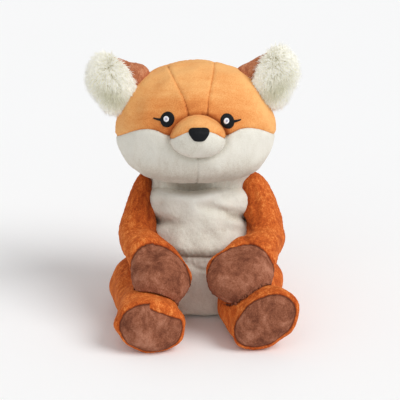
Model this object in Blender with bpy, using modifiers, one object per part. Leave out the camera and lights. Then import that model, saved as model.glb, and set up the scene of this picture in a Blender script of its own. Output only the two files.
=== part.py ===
"""A seated plush fox, built as its sewn pieces: fabric covers, the stuffing in them and a bead pouch.

The fox sits with +Z up and faces -Y, so its left side is +X. The origin is on the floor under the seat.
Every stuffed form is a coarse cage of rings, smoothed by subdivision. A cover panel is the outer form
less the inner one, cut along its seams, and the stuffing is the inner form less a small clearance.
Neck, arms, legs and tail turn on a ball of stuffing that fills a round opening in the body.
"""

import math

import bmesh
import bpy
import numpy as np
from mathutils import Matrix, Vector
from mathutils.bvhtree import BVHTree

# Fabric and clearances
COVER = 0.0030              # pile and backing together
GAP = 0.0003                # between any two pieces that touch
SWING_GAP = 0.0022          # between the torso and what swings beside it
SWEEP_GAP = 0.0008          # between a paw and a leg that splays under it
FLOOR_CUT = 0.0005          # how deep the floor flattens what rests on it
OVERRUN = 0.040             # how far a cutter reaches past what it cuts
STITCH = 0.0011             # thickness of embroidery
FINE_LEVELS = 2             # subdivision of a large form
COARSE_LEVELS = 1           # and of a small one or an inside

# Torso
TORSO_WIDTH = 0.144
TORSO_DEPTH = 0.120
TORSO_HEIGHT = 0.144
# height, half width, half depth and how far the middle lies back
TORSO_SHAPE_SHARES = (
    (0.035, 0.86, 0.90, 0.02),
    (0.250, 1.00, 1.00, 0.02),
    (0.530, 0.97, 0.96, 0.03),
    (0.790, 0.88, 0.78, 0.04),
    (0.950, 0.80, 0.62, 0.05),
)
BELLY_SEAM_SHARE = 0.53     # height of the seam across the belly
SIDE_SEAM_FORWARD_SHARE = 0.10
BEAD_POUCH_SHARE = 0.32     # height of the pouch's top

# Neck: a ball on the torso's top, sunk into torso and head alike
NECK_RADIUS = 0.029
NECK_STAND = 0.002          # its centre over the torso's top

# Head: its frame stands on the neck's centre, tipped back and turned a little
HEAD_TIP_BACK = math.radians(10.0)
HEAD_TURN = math.radians(2.3)
HEAD_WIDTH = 0.1774
HEAD_DEPTH = 0.138
HEAD_HEIGHT = 0.136
HEAD_SINK = 0.0018          # its lowest point under the neck's centre
HEAD_FORWARD = 0.0188       # its middle in front of the neck
HEAD_ASIDE = -0.005         # its middle beside the neck
# height, half width, half depth and how far the middle lies forward
HEAD_SHAPE_SHARES = (
    (-0.900, 0.56, 0.48, 0.12),
    (-0.620, 0.88, 0.82, 0.07),
    (-0.140, 1.00, 1.00, 0.00),
    (0.340, 0.905, 0.93, 0.00),
    (0.780, 0.61, 0.66, 0.00),
)
BACK_SEAM_SHARE = 0.10      # the seam from ear to ear behind the head's middle
# the cheek seam from the muzzle outwards: half width and half height
CHEEK_SEAM_SHARES = ((0.00, -0.18), (0.32, -0.14), (0.54, -0.03), (0.75, -0.06), (1.00, -0.21))
# the forehead seams from the muzzle upwards: half height, and half width on the right and on the left
FOREHEAD_SEAM_SHARES = (
    (-0.20, 0.08, 0.08),
    (0.25, 0.12, 0.12),
    (0.55, 0.20, 0.15),
    (1.10, 0.42, 0.26),
)

# Muzzle and nose, which look forward from the head
MUZZLE_WIDTH = 0.058
MUZZLE_HEIGHT = 0.0446
MUZZLE_REACH = 0.0300       # how far it stands out in front of the head
MUZZLE_DROP = 0.0066        # its middle under the head's
# from the head's front to the tip: place and size
MUZZLE_SHAPE_SHARES = ((-0.80, 0.96), (0.05, 1.00), (0.66, 0.80))
MUZZLE_SEAM_SHARE = 0.10    # the seam between bridge and lower muzzle, over the muzzle's middle
NOSE_WIDTH = 0.0225
NOSE_HEIGHT = 0.0145
NOSE_THICKNESS = 0.0030
NOSE_RISE = 0.0040          # its middle over the muzzle's
NOSE_OUTLINE_SHARES = (
    (-0.30, -1.00), (0.30, -1.00), (0.62, -0.62), (0.94, 0.10), (1.00, 0.62),
    (0.72, 0.96), (0.00, 1.00), (-0.72, 0.96), (-1.00, 0.62), (-0.94, 0.10), (-0.62, -0.62),
)

# Eyes: embroidered ovals, each with a white glint and a lash
EYE_WIDTH = 0.0150
EYE_HEIGHT = 0.0178
EYE_OUT = 0.0321
EYE_RISE = 0.0100
EYE_LEAN = math.radians(18.0)
GLINT_DIAMETER = 0.0060
LASH_LENGTH = 0.0080
LASH_WIDTH = 0.0020
# place along the lash, its height and half its width
LASH_SHARES = ((0.00, 0.00, 0.50), (0.45, 0.10, 0.42), (0.80, 0.25, 0.34), (1.00, 0.38, 0.25))

# Ears: a brown back that folds forward along its inner edge, round a pad of long fur
EAR_LENGTH = 0.056
EAR_WIDTH = 0.066
EAR_THICKNESS = 0.032
EAR_FUR_WIDTH = 0.059
EAR_FUR_THICKNESS = 0.040
EAR_FUR_ASIDE = 0.011       # the fur's middle away from the ear's inner edge
EAR_FUR_FORWARD = 0.014     # the fur's middle in front of the back's
EAR_SINK = 0.008            # its root under the head's surface
EAR_BACK = 0.0044           # its root behind the head's middle
EAR_PLACE = {"left": math.radians(28.0), "right": math.radians(24.4)}
EAR_UPRIGHT = {"left": math.radians(44.0), "right": math.radians(36.0)}
EAR_FACE_OUT = math.radians(22.0)
# place along the ear, half width, half thickness, and how far it lies aside and forward
EAR_BACK_SHARES = (
    (0.05, 1.00, 0.95, 0.00, 0.00),
    (0.42, 0.88, 1.00, 0.00, 0.00),
    (0.82, 0.56, 0.70, -0.10, 0.00),
)
EAR_FUR_SHARES = (
    (0.14, 0.74, 0.90, 1.00, 1.00),
    (0.50, 0.88, 1.00, 0.50, 1.00),
    (0.86, 0.76, 0.80, 0.00, 0.80),
)

# Arms: each bends out at the elbow and in to the paw
SHOULDER_RADIUS = 0.0205
SHOULDER_STAND = 0.0042     # the pivot outside the torso's side
SHOULDER_SHARE = 0.900      # its height
SLEEVE_WIDTH = 0.044
PAW_WIDTH = {"left": 0.073, "right": 0.063}
PAW_THICKNESS = 0.042
ELBOW_OUT = {"left": 0.0075, "right": 0.0030}
PAW_IN = 0.045
ARM_FORWARD = 0.106
ARM_DROP = 0.090
ARM_START_SHARES = (-0.40, 0.00, -0.10, -0.16)
# outward to the elbow, inward to the paw, forward, down; how far it is paw, and its swell
ARM_SHAPE_SHARES = (
    (0.00, 0.00, 0.00, 0.00, 0.00, 0.72),
    (1.00, 0.00, 0.30, 0.43, 0.00, 1.00),
    (0.80, 0.22, 0.62, 0.48, 0.35, 0.93),
    (0.30, 0.50, 0.89, 0.64, 1.00, 1.00),
    (0.10, 0.80, 0.99, 0.86, 0.95, 0.86),
)
ARM_END_SHARES = (0.00, 1.00, 1.00, 0.97)
PAW_PAD_LENGTH = 0.076      # the pad is as wide as the paw
PAW_PAD_SHARES = (0.30, 0.53, 0.90, 0.68)   # its middle, placed as the arm's sections are
PAW_PAD_TILT = math.radians(20.0)           # how far it looks up
PAW_PAD_LEAN = math.radians(33.0)           # how far its top leans outward

# Legs: each lies forward on the floor and ends in an upright sole
HIP_RADIUS = 0.0278
HIP_SINK = 0.0090           # the pivot inside the torso's side
HIP_HEIGHT = 0.0315
LEG_LENGTH = {"left": 0.146, "right": 0.151}
THIGH_WIDTH = 0.056
FOOT_WIDTH = {"left": 0.078, "right": 0.074}
FOOT_HEIGHT = {"left": 0.058, "right": 0.061}
KNEE_OUT = {"left": 0.002, "right": 0.012}
ANKLE_OUT = {"left": -0.008, "right": 0.0}
FOOT_OUT = {"left": 0.0060, "right": -0.0095}
FOOT_ROLL = {"left": math.radians(40.0), "right": math.radians(7.0)}
LEG_START_SHARE = -0.20
# forward, outward to the knee, to the ankle and to the foot; how far it is foot, and its swell
LEG_SHAPE_SHARES = (
    (0.00, 0.00, 0.00, 0.00, 0.00, 0.97),
    (0.24, 1.00, 0.10, 0.00, 0.00, 1.00),
    (0.56, 0.00, 1.00, 0.00, 0.12, 0.97),
    (0.85, 0.00, 0.00, 1.00, 1.00, 1.00),
    (0.965, 0.00, 0.00, 1.00, 1.00, 0.86),
)
SOLE_SHARE = 0.95           # the sole, as a share of the foot's width and height
SOLE_DROP = 0.001
SOLE_OUT = {"left": 0.003, "right": 0.0}
SOLE_DEPTH = 0.010          # how far back from its middle the sole reaches
# how far a leg splays where the paw over it still clears it
LEG_SWEEP = (math.radians(5.0), math.radians(10.0), math.radians(20.0))

# Tail: it lies on the floor behind the seat and curls to the fox's left
TAIL_ROOT_RADIUS = 0.0150
TAIL_STAND = 0.0056         # the pivot outside the torso's back
TAIL_ROOT_HEIGHT = 0.0240
TAIL_LENGTH = 0.108
TAIL_CURL = 0.055
TAIL_WIDTH = 0.048
TAIL_START_SHARE = -0.16
# backward, sideways and swell
TAIL_SHAPE_SHARES = ((0.00, 0.00, 0.60), (0.40, 0.14, 0.94), (0.74, 0.55, 0.96), (0.94, 0.88, 0.56))
TAIL_TIP_SHARE = 0.68       # where the cream tip starts

SIDES = {"left": 1, "right": -1}
TORSO_SIDES = 10            # corners of one ring of a cage
RING_SIDES = 8
SMALL_SIDES = 6
BALL_SEGMENTS = 16
BALL_TURN = math.radians(7.0)
SOCKET_TURN = math.radians(18.0)
OVAL_POINTS = 14
POLE_SHARE = 0.50           # how far a cage's end point stands past the form's own end
FOREHEAD_TOP_SHARE = 1.10   # outlines on the face reach this far past the head

# Colours of the finishes
ORANGE = (0.62, 0.17, 0.035, 1.0)
HEAD_ORANGE = (0.72, 0.25, 0.075, 1.0)
CREAM = (0.70, 0.67, 0.58, 1.0)
BROWN = (0.27, 0.105, 0.062, 1.0)
EAR_BROWN = (0.36, 0.13, 0.07, 1.0)
FUR = (0.80, 0.79, 0.70, 1.0)
BLACK = (0.012, 0.012, 0.014, 1.0)
WHITE = (0.85, 0.84, 0.86, 1.0)
FILLING = (0.78, 0.77, 0.74, 1.0)
BEADS = (0.55, 0.52, 0.46, 1.0)


def clear_scene():
    for obj in list(bpy.data.objects):
        bpy.data.objects.remove(obj)


def make_collection(name):
    found = bpy.data.collections.new(name)
    bpy.context.scene.collection.children.link(found)
    return found


def make_material(name, colour, roughness):
    made = bpy.data.materials.new(name)
    made.use_nodes = True
    shader = made.node_tree.nodes["Principled BSDF"]
    shader.inputs["Base Color"].default_value = colour
    shader.inputs["Roughness"].default_value = roughness
    shader.inputs["Metallic"].default_value = 0.0
    return made


def make_pivot(name, place, turn=None):
    """An empty on a joint's axis, which carries the pieces that move with it."""
    empty = bpy.data.objects.new(name, None)
    PARTS.objects.link(empty)
    empty.location = place
    if turn is not None:
        empty.rotation_euler = turn.to_euler()
    bpy.context.view_layer.update()
    return empty


def add_object(name, mesh, parent, collection):
    obj = bpy.data.objects.new(name, mesh)
    collection.objects.link(obj)
    obj.parent = parent
    return obj


def make_cutter(name, mesh, parent=None):
    obj = add_object("cut_" + name, mesh, parent, CUTTERS)
    obj.hide_render = True
    obj.display_type = "WIRE"
    return obj


def cut(obj, cutter, operation="DIFFERENCE"):
    step = obj.modifiers.new(cutter.name, "BOOLEAN")
    step.operation = operation
    step.object = cutter
    step.solver = "EXACT"


def make_piece(name, mesh, parent, finish, keeps=(), cuts=()):
    """A solid piece: the mesh, inside each of keeps and outside each of cuts."""
    obj = add_object(name, mesh.copy(), parent, PARTS)
    obj.data.materials.append(finish)
    obj.data.shade_smooth()
    for keeper in keeps:
        cut(obj, keeper, "INTERSECT")
    for cutter in cuts:
        cut(obj, cutter)
    return obj


def mesh_from(name, build):
    """A mesh of what build adds to an empty bmesh."""
    shape = bmesh.new()
    build(shape)
    mesh = bpy.data.meshes.new(name)
    shape.to_mesh(mesh)
    shape.free()
    return mesh


def ball_mesh(radius, askew=BALL_TURN):
    """A ball whose seams lie askew, so that no edge of it meets an edge of what it cuts."""
    turn = Matrix.Rotation(askew, 4, "X") @ Matrix.Rotation(askew, 4, "Z")

    def build(shape):
        rings = BALL_SEGMENTS // 2
        bmesh.ops.create_uvsphere(
            shape, u_segments=BALL_SEGMENTS, v_segments=rings, radius=radius, matrix=turn)

    return mesh_from("ball", build)


def socket_mesh(radius):
    """A faceted socket that clears a faceted ball of that radius at every angle."""
    return ball_mesh((radius + GAP) / math.cos(math.pi / BALL_SEGMENTS) ** 2, SOCKET_TURN)


def box_mesh(low, high):
    """A box from its lowest to its highest corner."""
    low, high = Vector(low), Vector(high)
    size = Matrix.Diagonal((*(high - low), 1.0))

    def build(shape):
        bmesh.ops.create_cube(shape, size=1.0, matrix=Matrix.Translation((low + high) / 2) @ size)

    return mesh_from("box", build)


def prism_mesh(outline, start, end, frame=Matrix()):
    """A flat outline in the frame's X and Z, drawn out along its Y from start to end."""

    def build(shape):
        near = [shape.verts.new(frame @ Vector((x, start, z))) for x, z in outline]
        far = [shape.verts.new(frame @ Vector((x, end, z))) for x, z in outline]
        shape.faces.new(near)
        shape.faces.new(far[::-1])
        for i, j in zip(range(len(outline)), (*range(1, len(outline)), 0)):
            shape.faces.new((near[j], near[i], far[i], far[j]))
        bmesh.ops.recalc_face_normals(shape, faces=shape.faces)

    return mesh_from("prism", build)


def oval(half_width, half_height, lean=0.0, centre=(0.0, 0.0)):
    """The points of an ellipse whose top leans towards +X."""
    points = []
    for i in range(OVAL_POINTS):
        angle = 2 * math.pi * i / OVAL_POINTS
        x, z = half_width * math.cos(angle), half_height * math.sin(angle)
        points.append((
            centre[0] + x * math.cos(lean) + z * math.sin(lean),
            centre[1] + z * math.cos(lean) - x * math.sin(lean),
        ))
    return points


def mix(low, high, share):
    return low + (high - low) * share


def unit(vector):
    return vector / np.linalg.norm(vector)


def section(centre, across, upward):
    """One oval cross-section of a form: its centre and its two half axes."""
    return np.array([*centre, *across, *upward])


def spine_sections(path, sizes, roll=0.0):
    """Sections square to a path of centres; sizes gives each one's half width and half height.

    Each section's width lies as near to X as it can, turned by roll.
    """
    sections = []
    for before, centre, after, (wide, high) in zip(path, path[1:], path[2:], sizes):
        along = unit(after - before)
        level = unit(np.array([1.0, 0.0, 0.0]) - along * along[0])
        upright = np.cross(along, level)
        across = level * math.cos(roll) + upright * math.sin(roll)
        sections.append(section(centre, wide * across, high * np.cross(along, across)))
    return sections


def cage_rows(sections, start, end):
    """Rows of a cage whose smoothed surface passes through the sections and ends near start and end.

    A smoothed row passes at (before + 4 own + after) / 6, so the rows are the solution of that system.
    """
    first, last = np.zeros(9), np.zeros(9)
    first[:3] = np.array(start) + POLE_SHARE * (np.array(start) - sections[0][:3])
    last[:3] = np.array(end) + POLE_SHARE * (np.array(end) - sections[-1][:3])
    count = len(sections)
    system = 4 * np.eye(count) + np.eye(count, k=1) + np.eye(count, k=-1)
    wanted = 6 * np.array(sections)
    wanted[0] -= first
    wanted[-1] -= last
    return first[:3], np.linalg.solve(system, wanted), last[:3]


def cage_mesh(sections, start, end, sides):
    """A closed cage: a point, a ring for each section and a point."""
    first, rows, last = cage_rows(sections, start, end)
    shrink = (4 + 2 * math.cos(2 * math.pi / sides)) / 6

    def ring_point(row, i):
        angle = 2 * math.pi * i / sides
        across, upward = row[3:6] * math.cos(angle), row[6:9] * math.sin(angle)
        return row[:3] + (across + upward) / shrink

    def build(shape):
        rings = [[shape.verts.new(ring_point(row, i)) for i in range(sides)] for row in rows]
        low, high = shape.verts.new(first), shape.verts.new(last)
        for i, j in zip(range(sides), (*range(1, sides), 0)):
            shape.faces.new((low, rings[0][j], rings[0][i]))
            shape.faces.new((high, rings[-1][i], rings[-1][j]))
            for here, there in zip(rings, rings[1:]):
                shape.faces.new((here[i], here[j], there[j], there[i]))
        bmesh.ops.recalc_face_normals(shape, faces=shape.faces)

    return mesh_from("cage", build)


def smooth_mesh(cage, level, outward=0.0):
    """The cage smoothed, and moved along its normals by outward.

    Its faces are triangles, split alike at every distance, so that shells of one cage stay apart.
    """
    helper = add_object("helper", cage, None, CUTTERS)
    smoothing = helper.modifiers.new("smoothing", "SUBSURF")
    smoothing.levels = smoothing.render_levels = level
    flat_faces = helper.modifiers.new("flat_faces", "TRIANGULATE")
    flat_faces.quad_method = "FIXED"
    moving = helper.modifiers.new("moving", "DISPLACE")
    moving.mid_level = 0.0
    moving.strength = outward
    graph = bpy.context.evaluated_depsgraph_get()
    mesh = bpy.data.meshes.new_from_object(helper.evaluated_get(graph))
    bpy.data.objects.remove(helper)
    return mesh


class Form:
    """A stuffed form: its outer surface, its stuffing, and cutters for its inside and surroundings."""

    def __init__(self, name, sections, start, end, sides, level, parent=None):
        self.name = name
        self.level = level
        self.parent = parent
        self.cage = cage_mesh(sections, start, end, sides)
        self.outer = smooth_mesh(self.cage, level)
        self.core = smooth_mesh(self.cage, COARSE_LEVELS, -COVER - GAP)
        self.inside = make_cutter(name + "_inside", smooth_mesh(self.cage, COARSE_LEVELS, -COVER), parent)

    def grown(self, name, outward):
        """A cutter of the form's outer surface, moved outward."""
        mesh = smooth_mesh(self.cage, self.level, outward)
        return make_cutter(f"{self.name}_{name}", mesh, self.parent)

    def surface(self, origin, direction):
        """Where a line from inside the form, along direction, leaves it."""
        faces = [face.vertices for face in self.outer.polygons]
        tree = BVHTree.FromPolygons([corner.co for corner in self.outer.vertices], faces)
        return tree.ray_cast(Vector(origin), Vector(direction).normalized())[0]

    def panel(self, name, finish, keeps=(), cuts=()):
        """A panel of the form's cover."""
        return make_piece(name, self.outer, self.parent, finish, keeps, (*cuts, self.inside))

    def stuffing(self, name, cuts=(), keeps=(), finish=None):
        return make_piece(name, self.core, self.parent, finish or STUFFING, keeps, cuts)


def torso_form():
    sections = []
    for height, wide, deep, back in TORSO_SHAPE_SHARES:
        centre = (0.0, back * TORSO_DEPTH, height * TORSO_HEIGHT - FLOOR_CUT)
        sections.append(section(centre, (wide * TORSO_WIDTH / 2, 0, 0), (0, deep * TORSO_DEPTH / 2, 0)))
    start = (0.0, sections[0][1], -FLOOR_CUT)
    end = (0.0, sections[-1][1], TORSO_HEIGHT)
    return Form("torso", sections, start, end, TORSO_SIDES, COARSE_LEVELS)


def build_torso(torso, sockets):
    """The cover's three panels, the stuffing, and the pouch of beads in the seat."""
    wide, deep, top = TORSO_WIDTH, TORSO_DEPTH, TORSO_HEIGHT + OVERRUN
    seam = -SIDE_SEAM_FORWARD_SHARE * TORSO_DEPTH / 2
    belly = BELLY_SEAM_SHARE * TORSO_HEIGHT
    pouch_top = BEAD_POUCH_SHARE * TORSO_HEIGHT
    half_gap = GAP / 2
    cutter_boxes = {
        "belly_upper": ((-wide, -deep, belly + half_gap), (wide, seam - half_gap, top)),
        "belly_lower": ((-wide, -deep, 0.0), (wide, seam - half_gap, belly - half_gap)),
        "back": ((-wide, seam + half_gap, 0.0), (wide, deep, top)),
        "pouch": ((-wide, -deep, -OVERRUN), (wide, deep, pouch_top)),
        "over_pouch": ((-wide, -deep, pouch_top + GAP), (wide, deep, top)),
    }
    boxes = {name: make_cutter(name, box_mesh(*corners)) for name, corners in cutter_boxes.items()}
    torso.panel("belly_upper_panel", CREAM_PLUSH, [boxes["belly_upper"]], sockets)
    torso.panel("belly_lower_panel", CREAM_PLUSH, [boxes["belly_lower"]], sockets)
    torso.panel("back_panel", ORANGE_PLUSH, [boxes["back"]], sockets)
    torso.stuffing("bead_pouch", sockets, [boxes["pouch"]], BEAD_CLOTH)
    torso.stuffing("torso_stuffing", sockets, [boxes["over_pouch"]])


def head_form(pivot):
    half = Vector((HEAD_WIDTH, HEAD_DEPTH, HEAD_HEIGHT)) / 2
    middle = Vector((HEAD_ASIDE, -HEAD_FORWARD, half.z - HEAD_SINK))
    sections = []
    for height, wide, deep, forward in HEAD_SHAPE_SHARES:
        centre = middle + Vector((0, -forward * half.y, height * half.z))
        sections.append(section(centre, (wide * half.x, 0, 0), (0, deep * half.y, 0)))
    low, high = middle - Vector((0, 0, half.z)), middle + Vector((0, 0, half.z))
    return Form("head", sections, low, high, RING_SIDES, FINE_LEVELS, pivot), middle, half


def muzzle_form(pivot, middle, half):
    sections = []
    front = middle - Vector((0, half.y, MUZZLE_DROP))
    for place, size in MUZZLE_SHAPE_SHARES:
        centre = front - Vector((0, place * MUZZLE_REACH, 0))
        half_wide, half_high = size * MUZZLE_WIDTH / 2, size * MUZZLE_HEIGHT / 2
        sections.append(section(centre, (half_wide, 0, 0), (0, 0, half_high)))
    end = front - Vector((0, MUZZLE_REACH, 0))
    start = front + Vector((0, MUZZLE_REACH, 0))
    return Form("muzzle", sections, start, end, RING_SIDES, COARSE_LEVELS, pivot), front


def face_outlines(middle, half):
    """Outlines of the face's panels, seen from the front, half a gap inside their seams."""
    half_gap = GAP / 2
    far_x, far_z = half.x * FOREHEAD_TOP_SHARE, half.z * FOREHEAD_TOP_SHARE
    outlines = {}
    for side, sign in SIDES.items():
        column = 2 if side == "left" else 1
        cheek = [(middle.x + sign * x * half.x, middle.z + z * half.z) for x, z in CHEEK_SEAM_SHARES]
        cheek[-1] = (middle.x + sign * far_x, cheek[-1][1])
        forehead = [
            (middle.x + sign * row[column] * half.x, middle.z + row[0] * half.z)
            for row in FOREHEAD_SEAM_SHARES
        ]
        outlines["forehead_" + side] = forehead
        over = [(x, z + half_gap) for x, z in cheek if sign * (x - forehead[0][0]) > 0]
        beside = [(x + sign * half_gap, z) for x, z in forehead]
        outer_corner = (cheek[-1][0], middle.z + far_z)
        outlines["face_" + side] = [*over, outer_corner, *beside[::-1]]
        under = [(max(sign * x, sign * middle.x + half_gap) * sign, z - half_gap) for x, z in cheek]
        low = middle.z - far_z
        outlines["cheek_" + side] = [*under, (cheek[-1][0], low), (middle.x + sign * half_gap, low)]
    left = [(x - half_gap, z) for x, z in outlines.pop("forehead_left")]
    right = [(x + half_gap, z) for x, z in outlines.pop("forehead_right")]
    outlines["forehead_gusset"] = [*left, *right[::-1]]
    return outlines


def build_head(pivot, neck_socket):
    """The head's cover, muzzle, nose, eyes and ears."""
    head, middle, half = head_form(pivot)
    muzzle, front = muzzle_form(pivot, middle, half)
    seam = middle.y + BACK_SEAM_SHARE * half.y
    reach = half * 2
    muzzle_room = muzzle.grown("room", GAP)
    behind = make_cutter("head_back", box_mesh(
        (middle.x - reach.x, seam + GAP, middle.z - reach.z), middle + reach), pivot)
    head.panel("head_back_panel", HEAD_PLUSH, [behind], [neck_socket])
    for name, outline in face_outlines(middle, half).items():
        region = make_cutter(name, prism_mesh(outline, middle.y - reach.y, seam), pivot)
        finish = CREAM_PLUSH if name.startswith("cheek") else HEAD_PLUSH
        cuts = [muzzle_room] if name == "forehead_gusset" else [muzzle_room, neck_socket]
        head.panel(name + ("" if name == "forehead_gusset" else "_panel"), finish, [region], cuts)
    head.stuffing("head_stuffing", [neck_socket])
    build_muzzle(muzzle, muzzle_room, front, head)
    head_room = head.grown("room", GAP)
    for side, sign in SIDES.items():
        build_eye(side, sign, head, middle, half)
        build_ear(side, sign, head, head_room, middle)


def build_muzzle(muzzle, muzzle_room, front, head):
    """The muzzle's two panels and stuffing, which stand on the head's stuffing, and the nose."""
    wide, high = MUZZLE_WIDTH, MUZZLE_HEIGHT
    seam = front.z + MUZZLE_SEAM_SHARE * high / 2
    far, near = front.y - 2 * MUZZLE_REACH, front.y + 2 * MUZZLE_REACH
    over = make_cutter("over_muzzle_seam", box_mesh(
        (front.x - wide, far, seam + GAP / 2), (front.x + wide, near, seam + high)), muzzle.parent)
    under = make_cutter("under_muzzle_seam", box_mesh(
        (front.x - wide, far, seam - 2 * high), (front.x + wide, near, seam - GAP / 2)), muzzle.parent)
    muzzle.panel("muzzle_bridge", HEAD_PLUSH, [over], [head.inside])
    muzzle.panel("muzzle_lower", CREAM_PLUSH, [under], [head.inside])
    muzzle.stuffing("muzzle_stuffing", [head.inside])
    outline = [
        (front.x + x * NOSE_WIDTH / 2, front.z + NOSE_RISE + z * NOSE_HEIGHT / 2)
        for x, z in NOSE_OUTLINE_SHARES
    ]
    patch = prism_mesh(outline, far, front.y - MUZZLE_REACH / 2)
    region = make_cutter("nose", patch, muzzle.parent)
    thick = smooth_mesh(muzzle.cage, muzzle.level, GAP + NOSE_THICKNESS)
    make_piece("nose", thick, muzzle.parent, BLACK_THREAD, [region], [muzzle_room])


def build_eye(side, sign, head, middle, half):
    """An embroidered oval on the face, with its glint and its lash."""
    x, z = middle.x + sign * EYE_OUT, middle.z + EYE_RISE
    depth = (middle.y - 2 * half.y, middle.y)
    lean = -sign * EYE_LEAN
    shapes = {
        "eye": oval(EYE_WIDTH / 2, EYE_HEIGHT / 2, lean, (x, z)),
        "eye_glint": oval(GLINT_DIAMETER / 2, GLINT_DIAMETER / 2, 0.0, (x, z)),
    }
    first = x + sign * (EYE_WIDTH / 2 + GAP)
    spine = [
        (first + sign * a * LASH_LENGTH, z + b * LASH_LENGTH, c * LASH_WIDTH)
        for a, b, c in LASH_SHARES
    ]
    shapes["eyelash"] = [(a, b - c) for a, b, c in spine] + [(a, b + c) for a, b, c in spine[::-1]]
    low = {"eye": GAP, "eye_glint": 2 * GAP + STITCH, "eyelash": GAP}
    for name, outline in shapes.items():
        region = make_cutter(f"{name}_{side}", prism_mesh(outline, *depth), head.parent)
        body = smooth_mesh(head.cage, head.level, low[name] + STITCH)
        below = head.grown(f"under_{name}_{side}", low[name])
        finish = WHITE_THREAD if name == "eye_glint" else BLACK_THREAD
        make_piece(f"{name}_{side}", body, head.parent, finish, [region], [below])


def build_ear(side, sign, head, head_room, middle):
    """An ear: its furry front looks forward and out, and its brown back shows beside the forehead."""
    place, upright = EAR_PLACE[side], EAR_UPRIGHT[side]
    toward = Vector((sign * math.cos(place), 0, math.sin(place)))
    root = np.array(head.surface(middle + Vector((0, EAR_BACK, 0)), toward) - toward * EAR_SINK)
    along = np.array([sign * math.cos(upright), 0.0, math.sin(upright)])
    outward = np.array([sign * math.sin(upright), 0.0, -math.cos(upright)])
    forward = np.array([0.0, -1.0, 0.0])
    facing = forward * math.cos(EAR_FACE_OUT) + outward * math.sin(EAR_FACE_OUT)
    across = outward * math.cos(EAR_FACE_OUT) - forward * math.sin(EAR_FACE_OUT)

    def ear_form(name, rows, width, thickness, sides):
        sections = []
        for out, wide, thick, aside, ahead in rows:
            lie = across * aside * EAR_FUR_ASIDE + facing * ahead * EAR_FUR_FORWARD
            half_axes = (across * wide * width / 2, facing * thick * thickness / 2)
            sections.append(section(root + along * out * EAR_LENGTH + lie, *half_axes))
        start, end = root - along * EAR_SINK, root + along * EAR_LENGTH
        return Form(f"{name}_{side}", sections, start, end, sides, COARSE_LEVELS, head.parent)

    back = ear_form("ear_back", EAR_BACK_SHARES, EAR_WIDTH, EAR_THICKNESS, SMALL_SIDES)
    fur = ear_form("ear_fur", EAR_FUR_SHARES, EAR_FUR_WIDTH, EAR_FUR_THICKNESS, RING_SIDES)
    fur_room = fur.grown("room", GAP)
    make_piece(f"ear_{side}_back", back.outer, head.parent, EAR_PLUSH, (), [head_room, fur_room])
    make_piece(f"ear_{side}_fur", fur.outer, head.parent, LONG_FUR, (), [head_room])


def arm_place(shares, side):
    """A place on the arm from its shares: outward to the elbow, inward to the paw, forward and down."""
    outward, inward, forward, down = shares[:4]
    aside = outward * ELBOW_OUT[side] - inward * PAW_IN
    return np.array([SIDES[side] * aside, -forward * ARM_FORWARD, -down * ARM_DROP])


def build_arm(side, sign, pivot, obstacles):
    """A sleeve with a paw pad in front, and its stuffing, whose end is the ball in the shoulder."""
    path = [arm_place(row, side) for row in (ARM_START_SHARES, *ARM_SHAPE_SHARES, ARM_END_SHARES)]
    sizes = []
    for *_, paw, swell in ARM_SHAPE_SHARES:
        wide, thick = mix(SLEEVE_WIDTH, PAW_WIDTH[side], paw), mix(SLEEVE_WIDTH, PAW_THICKNESS, paw)
        sizes.append((swell * wide / 2, swell * thick / 2))
    sections = spine_sections(path, sizes)
    arm = Form("arm_" + side, sections, path[0], path[-1], RING_SIDES, COARSE_LEVELS, pivot)
    middle = Vector(arm_place(PAW_PAD_SHARES, side))
    facing = Matrix.Translation(middle) @ Matrix.Rotation(-PAW_PAD_TILT, 4, "X")
    half = (PAW_WIDTH[side] / 2, PAW_PAD_LENGTH / 2)
    lean = sign * PAW_PAD_LEAN
    reach = (-PAW_PAD_LENGTH, 0.0)
    pad = make_cutter("paw_pad_" + side, prism_mesh(oval(*half, lean), *reach, facing), pivot)
    around = oval(half[0] + GAP, half[1] + GAP, lean)
    around_pad = make_cutter("around_paw_pad_" + side, prism_mesh(around, *reach, facing), pivot)
    arm.panel(f"arm_{side}_sleeve", ORANGE_PLUSH, (), (around_pad, *obstacles))
    arm.panel(f"arm_{side}_paw_pad", BROWN_PLUSH, [pad], obstacles)
    arm.stuffing(f"arm_{side}_stuffing", obstacles)


def leg_form(side, sign, pivot):
    roll = FOOT_ROLL[side]
    foot_half = (FOOT_WIDTH[side] / 2, FOOT_HEIGHT[side] / 2)
    foot_middle = math.hypot(foot_half[0] * math.sin(roll), foot_half[1] * math.cos(roll)) - FLOOR_CUT
    path, sizes = [], []
    rows = ((LEG_START_SHARE, 0, 0, 0, 0, 0), *LEG_SHAPE_SHARES, (1, 0, 0, 1, 1, 0))
    for forward, knee, ankle, foot, blend, swell in rows:
        aside = knee * KNEE_OUT[side] + ankle * ANKLE_OUT[side] + foot * FOOT_OUT[side]
        rise = blend * (foot_middle - HIP_HEIGHT)
        path.append(np.array([sign * aside, -forward * LEG_LENGTH[side], rise]))
        wide, high = (mix(THIGH_WIDTH / 2, half, blend) for half in foot_half)
        sizes.append((swell * wide, swell * high))
    sections = spine_sections(path, sizes[1:-1], sign * roll)
    leg = Form("leg_" + side, sections, path[0], path[-1], RING_SIDES, COARSE_LEVELS, pivot)
    return leg, Vector(path[-1])


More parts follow.
